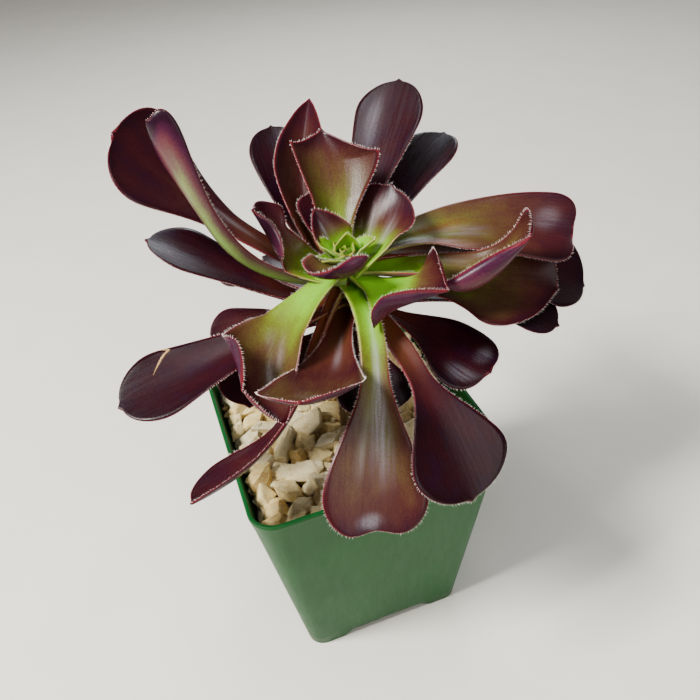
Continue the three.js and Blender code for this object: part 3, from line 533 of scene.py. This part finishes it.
def cupped_section(cup, crease, s):
    """Sideways and upward places, and the slope, at the share s of the half width."""
    steps = np.linspace(0, 1, SECTION_STEPS + 1)
    middle = (steps[1:] + steps[:-1]) / 2
    angle = cup[:, None] * middle[None, :] ** crease
    grow = lambda f: np.concatenate([np.zeros((len(cup), 1)), np.cumsum(f(angle), 1) / SECTION_STEPS], 1)
    out, up = grow(np.cos), grow(np.sin)
    pick = lambda table: np.array([np.interp(s, steps, line) for line in table])
    return pick(out), pick(up), cup[:, None] * s[None, :] ** crease


def leaf_grid(row, rng):
    """Middle surface of the leaf: points, outward and sideways directions and flat places, each
    [station, rib], with the stations' shares of the length and the ribs' shares of the half width."""
    t = np.linspace(0, 1, STATIONS + 1)
    q = 0.1 * t + 0.9 * np.sin(t * math.pi / 2)  # stations crowd towards the tip
    point, forward, side, face, length = centre_line(row, q)
    half = half_width(row, q)
    s = np.linspace(-1, 1, 2 * RIBS + 1)
    sections = [cupped_section(np.radians(three_stops(row[key], q)), row["crease"], np.abs(s))
                for key in ("cup", "left_cup")]
    out, up, slope = (np.where(s[None, :] > 0, left, right) for right, left in zip(*sections))
    sign = np.sign(s)[None, :]
    share = 1 + (row["right_share"] - 1) * smooth((q - 0.3) / 0.5)[:, None] * (s < 0)
    across = sign * out * half[:, None] * share
    rise = up * half[:, None] * share
    broad = half[:, None] / half.max()
    phase = rng.uniform(0, 2 * math.pi, 4)
    ripple = sum(np.sin(2 * math.pi * (k + 1) * q + phase[k]) / (k + 1) for k in range(1, 4))
    rise = rise + RIPPLE * ripple[:, None] * s[None, :] ** 3 * broad
    dip = row["notch"] * smooth((q - 0.75) / 0.25)
    ahead = -dip[:, None] * np.exp(-(across / NOTCH_WIDTH) ** 2)
    lean = row["skew"] * np.minimum(s, 0) + row["left_skew"] * np.maximum(s, 0)
    ahead = ahead + (smooth((q - 0.4) / 0.4) * half / half.max())[:, None] * lean[None, :]
    to_tip = (1 - q)[:, None] * length
    ahead = ahead + (row["lip"] * np.clip(1 - np.abs(across) / LIP_WIDTH, 0, 1) ** 1.5
                     * np.clip(1 - to_tip / LIP_REACH, 0, 1))
    grid = (point[:, None] + across[..., None] * side[:, None] + rise[..., None] * face[:, None]
            + ahead[..., None] * forward[:, None])
    outward = (np.cos(slope)[..., None] * face[:, None]
               - (sign * np.sin(slope))[..., None] * side[:, None])
    tangent = (np.cos(slope)[..., None] * side[:, None]
               + (sign * np.sin(slope))[..., None] * face[:, None])
    flat = np.stack([s[None, :] * half[:, None], np.repeat(q[:, None] * length, len(s), 1)], -1)
    return grid, outward, tangent, flat, q, s


def edge_distance(flat):
    """How far each grid point lies from the leaf's outline, measured on the flat leaf."""
    outline = np.concatenate([flat[:, 0], flat[::-1, -1]])
    points = flat.reshape(-1, 2)
    best = np.full(len(points), 1e9)
    for a, b in zip(outline[:-1], outline[1:]):
        ab = b - a
        share = np.clip(((points - a) @ ab) / max(ab @ ab, 1e-9), 0, 1)
        best = np.minimum(best, np.linalg.norm(points - a - share[:, None] * ab, axis=1))
    return best


def cilia(grid, tangent, rng):
    """Small hairs standing out of both margins: cones of four points and four faces."""
    points, faces = [], []
    for column, outward_sign in ((0, -1), (-1, 1)):
        line = grid[:, column]
        run = travelled(line)
        where = np.arange(CILIA_START, run[-1], CILIA_PITCH)
        where = where + rng.uniform(-0.25, 0.25, len(where))
        root = sample(where, run, line)
        course = unit(sample(where, run, np.gradient(line, axis=0)))
        away = sample(where, run, tangent[:, column] * outward_sign)
        away = unit(away - (away * course).sum(1)[:, None] * course)
        normal = np.cross(course, away)
        length = CILIA_LENGTH * rng.uniform(0.55, 1.1, len(where))
        lean = rng.normal(0.25, 0.2, len(where))
        drift = rng.normal(0, 0.15, len(where))
        tips = root + (away + course * lean[:, None] + normal * drift[:, None]) * length[:, None]
        for r, c, n, tip in zip(root - away * 0.2, course, normal, tips):
            base = len(points)
            for k in range(3):
                a = 2 * math.pi * k / 3
                points.append(r + (c * math.cos(a) + n * math.sin(a)) * CILIA_RADIUS)
            points.append(tip)
            faces += [(base, base + 1, base + 3), (base + 1, base + 2, base + 3),
                      (base + 2, base, base + 3), (base, base + 2, base + 1)]
    return points, faces


def patches(spots, across, along):
    """The strength of soft-edged oval patches at each point of a leaf."""
    total = np.zeros(len(along))
    for s_middle, q_middle, s_reach, q_reach, strength in spots:
        away = ((across - s_middle) / s_reach) ** 2 + ((along - q_middle) / q_reach) ** 2
        total = np.maximum(total, strength * np.exp(-away ** 1.5))
    return total


def slab_faces(rows, columns):
    """Faces of a thin solid between an upper and a lower grid of points, closed round its border."""
    below = rows * columns
    faces = []
    for face in grid_faces(rows, columns):
        faces += [face, tuple(x + below for x in reversed(face))]
    index_of = np.arange(below).reshape(rows, columns)
    border = [*index_of[:, 0], *index_of[-1, 1:-1], *index_of[::-1, -1], *index_of[0, -2:0:-1]]
    for a, b in zip(border, border[1:] + border[:1]):
        faces.append((a, a + below, b + below, b))
    return faces


def paint_leaf(piece, row, index, flat, q, s, extra):
    """Stores what the leaf's colours depend on. The piece's last `extra` points are its cilia."""
    rows, columns = len(q), len(s)
    across, along = np.tile(s, rows), np.repeat(q, columns)
    edge = edge_distance(flat)
    riper = row["edge"] * np.clip(1 - edge / EDGE_REACH, 0, 1) ** 1.5
    ripeness = [np.repeat(np.interp(q, *zip(*row[key])), columns) + riper for key in ("ripe", "under")]
    rusty = row["rust"] * np.interp(along, [0.1, 0.5], [1, 0])
    rusty = np.maximum(rusty, patches(row["rust_spots"], across, along))
    # painted highlight: the strength of the pale sheen patches at each point
    waxy = patches(row["wax"], across, along)
    point_values(piece, "ripe", np.concatenate([*ripeness, np.ones(extra)]))
    for name, values in (("edge", edge), ("wax", waxy), ("rust", rusty)):
        point_values(piece, name, np.concatenate([values, values, np.zeros(extra)]))
    side = np.concatenate([np.ones(rows * columns), np.zeros(rows * columns + extra)])
    point_values(piece, "upper", side)
    plan = np.concatenate([flat.reshape(-1, 2)] * 2 + [np.zeros((extra, 2))]) + index * PATTERN_SHIFT
    point_vectors(piece, "flat", np.column_stack([plan, side * 10]))


def build_leaf(row, index, skin, hairs):
    rng = np.random.default_rng(LEAF_SEED + index)
    grid, outward, tangent, flat, q, s = leaf_grid(row, rng)
    blade = min(1, row["width"] / FULL_THICKNESS_FROM)
    thick = np.interp(q, [0, 0.35, 1], [row["thick"] * FOOT_SWELL, BLADE_THICK * blade, TIP_THICK * blade])
    section = MARGIN_THICKNESS + (1 - MARGIN_THICKNESS) * np.sqrt(np.clip(1 - s ** 2, 0, 1))
    taper = np.minimum(1, half_width(row, q) / 1.5)
    depth = ((thick * taper)[:, None] * section[None, :] / 2)[..., None]
    faces = slab_faces(len(q), len(s))
    skin_faces = len(faces)
    hair_points, hair_faces = cilia(grid, tangent, rng)
    if row["heart"]:
        kept = 4 * HEART_CILIA  # each hair has four points and four faces
        hair_points, hair_faces = hair_points[:kept], hair_faces[:kept]
    upper, lower = (surface.reshape(-1, 3) for surface in (grid + outward * depth, grid - outward * depth))
    points = np.concatenate([upper, lower, np.array(hair_points)])
    faces += [tuple(x + 2 * len(upper) for x in face) for face in hair_faces]
    replaced = () if row["heart"] else (row["name"],)
    piece = mesh_piece(row["name"] + "_skin", metres(points), faces, [skin, hairs], replaced,
                       [0] * skin_faces + [1] * len(hair_faces))
    paint_leaf(piece, row, index, flat, q, s, len(hair_points))


SCAR = np.array([  # (across, along) on leaf_front_6
    (-0.4, 0.84), (-0.5, 0.825), (-0.62, 0.805), (-0.74, 0.785),
    (-0.84, 0.765), (-0.93, 0.74), (-0.97, 0.76), (-0.99, 0.78)])
SCAR_WIDTH = 1.1
SCAR_STEPS = 40
SCAR_SEED = 21


def build_scar(row, index, material):
    """A dry, slightly raised scratch in the upper side of one leaf."""
    grid, outward, _, _, q, s = leaf_grid(row, np.random.default_rng(LEAF_SEED + index))
    steps = np.linspace(0, len(SCAR) - 1, SCAR_STEPS)
    across = np.interp(steps, np.arange(len(SCAR)), SCAR[:, 0])
    along = np.interp(steps, np.arange(len(SCAR)), SCAR[:, 1])

    def at(table):
        level = np.interp(along, q, np.arange(len(q)))
        low = np.minimum(level.astype(int), len(q) - 2)
        blend = (level - low)[:, None]
        pick = lambda i: np.array([[np.interp(x, s, table[k, :, c]) for c in range(3)]
                                   for k, x in zip(i, across)])
        return pick(low) * (1 - blend) + pick(low + 1) * blend

    line, up = at(grid), at(outward)
    sideways = np.cross(up, unit(np.gradient(line, axis=0)))
    rng = np.random.default_rng(SCAR_SEED)
    taper = np.sin(np.linspace(0.12, math.pi - 0.12, SCAR_STEPS))
    half = SCAR_WIDTH / 2 * taper * rng.uniform(0.6, 1, SCAR_STEPS)
    ridge = [(-1, 0.5), (-0.4, 0.8), (0.4, 0.8), (1, 0.5)]  # (share of the half width, height)
    points = np.concatenate([line + sideways * (x * half)[:, None] + up * z for x, z in ridge])
    faces = [(a, a + 1, a + SCAR_STEPS + 1, a + SCAR_STEPS)
             for k in range(len(ridge) - 1) for a in range(k * SCAR_STEPS, (k + 1) * SCAR_STEPS - 1)]
    mesh_piece("leaf_front_6_scar", metres(points), faces, [material])


def scar_material():
    s = Shader("dry_scar")
    grain = s.noise(s.place(), 2.0, 4, 0.7)
    colour = s.ramp(grain, [(0.3, "#7a5230"), (0.5, "#b08a5c"), (0.7, "#cdb288")])
    return s.finish(colour, 0.85, grain, 0.2, Specular_IOR_Level=0.2)


# ---- pot
WALL = 1.4
BASE_SIDE = 72
FOOT = 5.5  # the floor's underside stands this high
FLOOR = 1.5
BEAD = 0.2  # how far the rim's band stands out
BAND = 1.5
BAND_FOOT = POT_HEIGHT - BAND
RIM_ROUND = 0.55
RIM_EASE = 0.1
ARCH_WIDTH = 44
ARCH_SLOPE = 6
ARCH_HEIGHT = 3.2
CORNER_STEPS = 14
SIDE_STEPS = 48


def wall_side(z):
    return BASE_SIDE + (RIM_SIDE - 2 * BEAD - BASE_SIDE) * z / POT_HEIGHT


def corner_radius(z):
    return 7 + 3 * z / POT_HEIGHT


def square_plan(z, inset):
    """Points round the pot at height z, `inset` inside the outer wall, and each one's place along
    its side (0 in the middle of a side, in millimetres)."""
    corner = corner_radius(z) - inset
    half = wall_side(z) / 2 - inset
    straight = half - corner
    points, places = [], []
    for quarter in range(4):
        turn = Matrix.Rotation(quarter * math.pi / 2, 2)
        for k in range(SIDE_STEPS):
            y = -straight + 2 * straight * k / SIDE_STEPS
            points.append(turn @ Vector((half, y)))
            places.append(abs(y))
        for k in range(CORNER_STEPS):
            a = math.pi / 2 * k / CORNER_STEPS
            points.append(turn @ Vector((straight + corner * math.cos(a), straight + corner * math.sin(a))))
            places.append(half)
    return np.array(points), np.array(places)


def build_pot(material):
    outside = [(0, z) for z in (0, 6, 20, 45, 75, 95)]  # (inset, height) pairs
    band = [(0, BAND_FOOT - 0.6), (-BEAD * 0.4, BAND_FOOT - 0.25), (-BEAD, BAND_FOOT)]
    rim = [(-BEAD, POT_HEIGHT - RIM_ROUND), (-BEAD + 0.12, POT_HEIGHT - RIM_EASE),
           (-BEAD + RIM_ROUND, POT_HEIGHT), (WALL - RIM_ROUND, POT_HEIGHT),
           (WALL - RIM_EASE, POT_HEIGHT - RIM_EASE), (WALL, POT_HEIGHT - RIM_ROUND)]
    inside = [(WALL, z) for z in (95, 75, 45, FOOT + FLOOR)]
    profile = outside + band + rim + inside
    under = [(WALL, z) for z in (0, 5.2, FOOT)]
    count = 4 * (SIDE_STEPS + CORNER_STEPS)
    points = []
    for inset, z in profile + under:
        plan, places = square_plan(POT_HEIGHT if z > BAND_FOOT - 1 else z, inset)
        height = np.full(count, float(z))
        if z == 0:
            height = ARCH_HEIGHT * smooth((ARCH_WIDTH / 2 - places) / ARCH_SLOPE)
        points.extend(np.column_stack([plan, height]))
    start = len(profile) * count
    faces = ring_faces(0, len(profile), count)
    faces.append(tuple(range(start - count, start)))
    faces += ring_faces(start, len(under), count, inward=True)
    for i in range(count):
        faces.append((i, start + i, start + (i + 1) % count, (i + 1) % count))
    faces.append(tuple(reversed(range(len(points) - count, len(points)))))
    mesh_piece("pot_shell", metres(points), faces, [material], ("pot",))


def pot_material():
    s = Shader("pot_plastic")
    where = s.place()
    cloud = s.noise(where, 0.05, 2)
    grain = s.noise(where, 3.0, 3, 0.6)
    scuff = s.noise(s.scaled(where, (0.4, 0.4, 0.06)), 1.0, 5, 0.7)
    colour = s.ramp(cloud, [(0.3, "#054416"), (0.7, "#084a1a")])
    colour = s.mix(s.times(s.spread(scuff, 0.6, 0.75), 0.04), colour, linear("#7ca880"))
    roughness = s.spread(s.add(s.times(grain, 0.5), s.times(scuff, 0.5)), 0.35, 0.65, 0.36, 0.5)
    return s.finish(colour, roughness, grain, 0.03, Specular_IOR_Level=0.16)


# ---- soil, stones and stem
def soil_material():
    s = Shader("potting_soil")
    where = s.place()
    lumps = s.noise(where, 0.5, 6, 0.7)
    colour = s.ramp(lumps, [(0.3, "#1c120b"), (0.55, "#3a281a"), (0.8, "#5a4430")])
    return s.finish(colour, 0.95, lumps, 1.2)


STONE_CHIPS = 9
STONE_WEAR = 0.05
STONE_FILL = 1.04
STONE_LUMPS = ((6.0, 0.012), (14.0, 0.009), (30.0, 0.006))  # (fineness, height)
STONE_LAYERS = [  # (count, height of the stones' middles, length range, thickness range, packing)
    (110, 92.0, (6.0, 10.0), (5.0, 7.0), 1.0),
    (112, 96.2, (6.5, 13.5), (5.5, 8.0), 1.03),
    (130, 94.3, (3.5, 6.0), (3.0, 4.5), 1.0),
]
STONE_REACH = 45.8  # from the pot's axis
STONE_SEED = 11
STEM_CLEARANCE = 6.0
WALL_CLEARANCE = 0.25
SETTLING_STEPS = 200
WALL_STEPS = 4
SHARP_ANGLE = 32
BED_HEIGHT = 92
BED_STEPS = 60
BED_SEED = 5


def stone_material():
    s = Shader("broken_stone")
    where = s.place()
    tone = s.value("tone")
    stains = s.noise(where, 0.22, 4, 0.6)
    grain = s.noise(where, 1.6, 5, 0.75)
    pits = s.noise(where, 0.7, 3, 0.6)
    colour = s.ramp(tone, [(0, "#ccae6c"), (0.35, "#dac486"), (0.7, "#e4d6a8"), (1, "#cabf9c")])
    colour = s.mix(s.spread(stains, 0.45, 0.7, 0, 0.55), colour, linear("#b08a48"))
    colour = s.mix(s.spread(grain, 0.48, 0.72, 0, 0.55), colour, linear("#86683c"))
    colour = s.mix(s.spread(pits, 0.55, 0.68, 0, 0.45), colour, linear("#e8dab0"))
    relief = s.add(s.times(grain, 0.6), s.times(pits, 0.6))
    return s.finish(colour, 0.92, relief, 0.6, Specular_IOR_Level=0.15)


def stone_shape(rng):
    """A broken stone of about unit size: a block cut by flat faces, its edges slightly worn."""
    block = np.concatenate([np.eye(3), -np.eye(3)]) + rng.normal(0, 0.24, (6, 3))
    chips = rng.normal(size=(STONE_CHIPS, 3))
    normals = unit(np.concatenate([block, chips]))
    depth = np.concatenate([rng.uniform(0.38, 0.5, 6), rng.uniform(0.42, 0.56, STONE_CHIPS)])
    bm = bmesh.new()
    bmesh.ops.create_cube(bm, size=1.4)
    for normal, reach in zip(normals, depth):
        everything = bm.verts[:] + bm.edges[:] + bm.faces[:]
        bmesh.ops.bisect_plane(bm, geom=everything, dist=0.01, plane_co=Vector(normal * reach),
                               plane_no=Vector(normal), clear_outer=True)
        bmesh.ops.holes_fill(bm, edges=[e for e in bm.edges if e.is_boundary])
    bmesh.ops.bevel(bm, geom=bm.edges[:], offset=STONE_WEAR, segments=1, profile=0.5, affect="EDGES",
                    clamp_overlap=True)
    bmesh.ops.triangulate(bm, faces=bm.faces[:])
    long_edges = [e for e in bm.edges if e.calc_length() > 0.22]
    bmesh.ops.subdivide_edges(bm, edges=long_edges, cuts=2, use_grid_fill=True)
    bmesh.ops.triangulate(bm, faces=bm.faces[:])
    bm.normal_update()
    points = np.array([v.co for v in bm.verts])
    normals = np.array([v.normal for v in bm.verts])
    faces = [tuple(v.index for v in f.verts) for f in bm.faces]
    bm.free()
    for wave, height in STONE_LUMPS:
        lump = sum(np.sin(points @ rng.normal(0, wave, 3) + rng.uniform(0, 6)) for _ in range(5))
        points = points + normals * (height * lump)[:, None]
    return points, faces


def beyond_wall(points):
    """How far points stand outside the pot's inner wall, and which way is out."""
    half = wall_side(points[:, 2]) / 2 - WALL - WALL_CLEARANCE
    corner = corner_radius(points[:, 2]) - WALL
    past = np.abs(points[:, :2]) - (half - corner)[:, None]
    out = np.maximum(past, 0)
    far = np.linalg.norm(out, axis=1)
    depth = np.where(far > 0, far, past.max(1)) - corner
    return depth, np.sign(points[:, :2]) * out / np.maximum(far, 1e-6)[:, None]


def stone_places(rng, count, radius):
    """Places for stones in the square pot, pushed apart until they hardly overlap."""
    places = rng.uniform(-STONE_REACH, STONE_REACH, (count, 2))
    stem = STEM_COURSE[1, 1:]
    bound = (STONE_REACH - radius * 0.85)[:, None]
    for _ in range(SETTLING_STEPS):
        apart = places[:, None] - places[None, :]
        gap = np.linalg.norm(apart, axis=2) + np.eye(count) * 99
        push = np.clip((radius[:, None] + radius[None, :]) - gap, 0, None) / gap
        places = places + 0.25 * (apart * push[..., None]).sum(1)
        from_stem = places - stem
        distance = np.linalg.norm(from_stem, axis=1)
        short = np.clip(STEM_CLEARANCE + radius - distance, 0, None) / np.maximum(distance, 0.1)
        places = np.clip(places + from_stem * short[:, None], -bound, bound)
    return places


def build_stones(material):
    rng = np.random.default_rng(STONE_SEED)
    for number, (count, height, lengths, heights, packing) in enumerate(STONE_LAYERS, 1):
        points, faces, tones = [], [], []
        length = rng.uniform(*lengths, count)
        width = length * rng.uniform(0.58, 0.85, count)
        tall = rng.uniform(*heights, count)
        places = stone_places(rng, count, (length + width) / 4 * packing)
        offset = 0
        for k in range(count):
            body, body_faces = stone_shape(rng)
            body = body * np.array([length[k], width[k], tall[k]]) * STONE_FILL
            spin = Matrix.Rotation(rng.uniform(0, 2 * math.pi), 3, "Z")
            tip = Matrix.Rotation(rng.normal(0, 0.3), 3, "X") @ Matrix.Rotation(rng.normal(0, 0.3), 3, "Y")
            body = body @ np.array(spin @ tip).T
            body += np.array([*places[k], height + rng.uniform(-1.2, 1.2)])
            for _ in range(WALL_STEPS):
                depth, way = beyond_wall(body)
                worst = int(np.argmax(depth))
                if depth[worst] > 0:
                    body[:, :2] -= way[worst] * depth[worst]
            points.append(body)
            faces += [tuple(x + offset for x in face) for face in body_faces]
            offset += len(body)
            tones.append(np.full(len(body), rng.uniform(0, 1)))
        piece = mesh_piece(f"stones_{number}", metres(np.concatenate(points)), faces, [material],
                           ("gravel",))
        piece.data.set_sharp_from_angle(angle=math.radians(SHARP_ANGLE))
        point_values(piece, "tone", np.concatenate(tones))


def build_bed(material):
    """A sheet of dark soil under and between the stones; its darkness also stands in for the shade in the
    gaps between them.
    """
    rng = np.random.default_rng(BED_SEED)
    half = wall_side(BED_HEIGHT) / 2 - WALL
    line = np.linspace(-half + 0.05, half - 0.05, BED_STEPS)
    bumps = rng.normal(0, 0.5, (BED_STEPS, BED_STEPS))
    points = np.array([(x, y, BED_HEIGHT + bumps[i, j])
                       for i, x in enumerate(line) for j, y in enumerate(line)])
    depth, way = beyond_wall(points)
    points[:, :2] -= way * np.maximum(depth, 0)[:, None]
    mesh_piece("soil_and_shade_bed", metres(points), grid_faces(BED_STEPS, BED_STEPS), [material])


STEM_AROUND = 40
STEM_LEVELS = 150
STEM_FOOT = 86
STEM_TOP = 175.5
STEM_SEED = 3
STEM_SCARS = 34
FIRST_SCAR = 100
STEM_SCAR_PITCH = 1.75
GOLDEN_ANGLE = 2.39996
STEM_SCAR_WIDTH = 0.62
STEM_SCAR_HEIGHT = 1.5
SMOOTH_FROM = 168  # the green tip of the stem is smooth


def stem_material():
    s = Shader("stem_bark")
    where = s.place()
    height = s.value("height")
    fibres = s.noise(s.scaled(where, (0.9, 0.9, 0.12)), 1.0, 5, 0.65)
    moss = s.noise(where, 0.3, 3)
    bark = s.ramp(fibres, [(0.3, "#5c4630"), (0.55, "#8a6e4c"), (0.8, "#a89070")])
    bark = s.mix(s.spread(moss, 0.5, 0.7, 0, 0.5), bark, linear("#6c6a3a"))
    green = s.mix(moss, linear("#8a9a3c"), linear("#a4bc4c"))
    colour = s.mix(s.spread(height, 140, 158), bark, green)
    return s.finish(colour, 0.75, fibres, 0.5, Specular_IOR_Level=0.3)


def build_stem(material):
    """A short trunk, ringed by the scars of fallen leaves."""
    rng = np.random.default_rng(STEM_SEED)
    z = np.linspace(STEM_FOOT, STEM_TOP, STEM_LEVELS)
    angle = np.linspace(0, 2 * math.pi, STEM_AROUND, endpoint=False)
    radius = stem_radius(z)[:, None] * np.ones(STEM_AROUND)[None, :]
    for k in range(STEM_SCARS):
        away = (angle[None, :] - k * GOLDEN_ANGLE + math.pi) % (2 * math.pi) - math.pi
        above = z[:, None] - (FIRST_SCAR + k * STEM_SCAR_PITCH)
        spot = np.exp(-(away / STEM_SCAR_WIDTH) ** 4 - (above / STEM_SCAR_HEIGHT) ** 2)
        rim = np.exp(-(away / (STEM_SCAR_WIDTH * 1.25)) ** 4 - ((above + 1.3) / 0.8) ** 2)
        radius = radius - 0.35 * spot + 0.55 * rim
    wobble = rng.normal(0, 0.05, radius.shape)
    radius = np.maximum(radius + wobble * (z < SMOOTH_FROM)[:, None], 0.3)
    x, y = (np.interp(z, STEM_COURSE[:, 0], STEM_COURSE[:, k])[:, None] for k in (1, 2))
    heights = np.repeat(z[:, None], STEM_AROUND, 1)
    points = np.stack([x + radius * np.cos(angle), y + radius * np.sin(angle), heights], -1).reshape(-1, 3)
    faces = ring_faces(0, STEM_LEVELS, STEM_AROUND)
    faces.append(tuple(reversed(range(STEM_AROUND))))
    faces.append(tuple(range(len(points) - STEM_AROUND, len(points))))
    piece = mesh_piece("stem_bark", metres(points), faces, [material], ("stem",))
    point_values(piece, "height", points[:, 2])


# ---- studio
def build_studio():
    s = Shader("studio_floor")
    cloud = s.noise(s.place(), 0.02, 2)
    colour = s.ramp(cloud, [(0.3, "#e0dcd0"), (0.7, "#e4e0d5")])
    material = s.finish(colour, 0.9, Specular_IOR_Level=0.2)
    bpy.ops.mesh.primitive_plane_add(size=6, location=(0, 0, -0.0003))
    floor = bpy.context.object
    floor.name = "floor"
    floor.data.materials.append(material)
    world = bpy.data.worlds.new("studio")
    world.use_nodes = True
    world.node_tree.nodes["Background"].inputs[0].default_value = (0.93, 0.96, 1.0, 1)
    world.node_tree.nodes["Background"].inputs[1].default_value = 0.16
    bpy.context.scene.world = world
    lamps = [  # (name, place, size, length, watts, colour)
        ("window", (0.4, 0.95, 0.7), 0.3, 0.45, 3.5, (0.85, 0.92, 1.0)),
        ("strip", (0.0, -0.05, 1.1), 0.14, 0.5, 4, (0.95, 0.97, 1.0)),
        ("key", (-0.8, -0.1, 1.05), 0.32, 0.32, 42, (1.0, 0.98, 0.94)),
        ("fill", (0.3, -1.0, 0.7), 0.8, 0.8, 6.5, (1.0, 0.98, 0.95)),
    ]
    target = Vector((AXIS.x, AXIS.y, 0.13))
    for name, place, size, length, watts, colour in lamps:
        lamp = bpy.data.lights.new(name, "AREA")
        lamp.shape = "RECTANGLE"
        lamp.size = size
        lamp.size_y = length
        lamp.energy = watts
        lamp.color = colour
        holder = bpy.data.objects.new(name, lamp)
        holder.location = place
        holder.rotation_euler = (target - Vector(place)).to_track_quat("-Z", "Y").to_euler()
        bpy.context.scene.collection.objects.link(holder)


def build_camera():
    """A moderately wide lens, above and in front of the pot, leaning a little to one side."""
    data = bpy.data.cameras.new("view")
    data.sensor_width = 36
    data.lens = 36
    data.clip_start = 0.01
    camera = bpy.data.objects.new("view", data)
    azimuth, elevation, lean = map(math.radians, (-16.2, 37.7, -5.7))
    distance = 288.5
    target = Vector(metres((8.8, 11.6, 122.6)))
    back = Vector((math.sin(azimuth) * math.cos(elevation), -math.cos(azimuth) * math.cos(elevation),
                   math.sin(elevation)))
    camera.location = target + back * distance * MM
    look = (-back).to_track_quat("-Z", "Y").to_matrix().to_4x4()
    camera.matrix_world = Matrix.Translation(camera.location) @ look @ Matrix.Rotation(lean, 4, "Z")
    bpy.context.scene.collection.objects.link(camera)
    bpy.context.scene.camera = camera


# ---- build
build_camera()
build_studio()
build_pot(pot_material())
soil = soil_material()
soil_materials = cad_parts["soil"].data.materials
soil_materials.clear()
soil_materials.append(soil)
build_bed(soil)
build_stones(stone_material())
build_stem(stem_material())
skin = leaf_material()
hairs = hair_material()
for index, row in enumerate(LEAVES):
    build_leaf(row, index, skin, hairs)
    if row["name"] == "leaf_front_6":
        build_scar(row, index, scar_material())
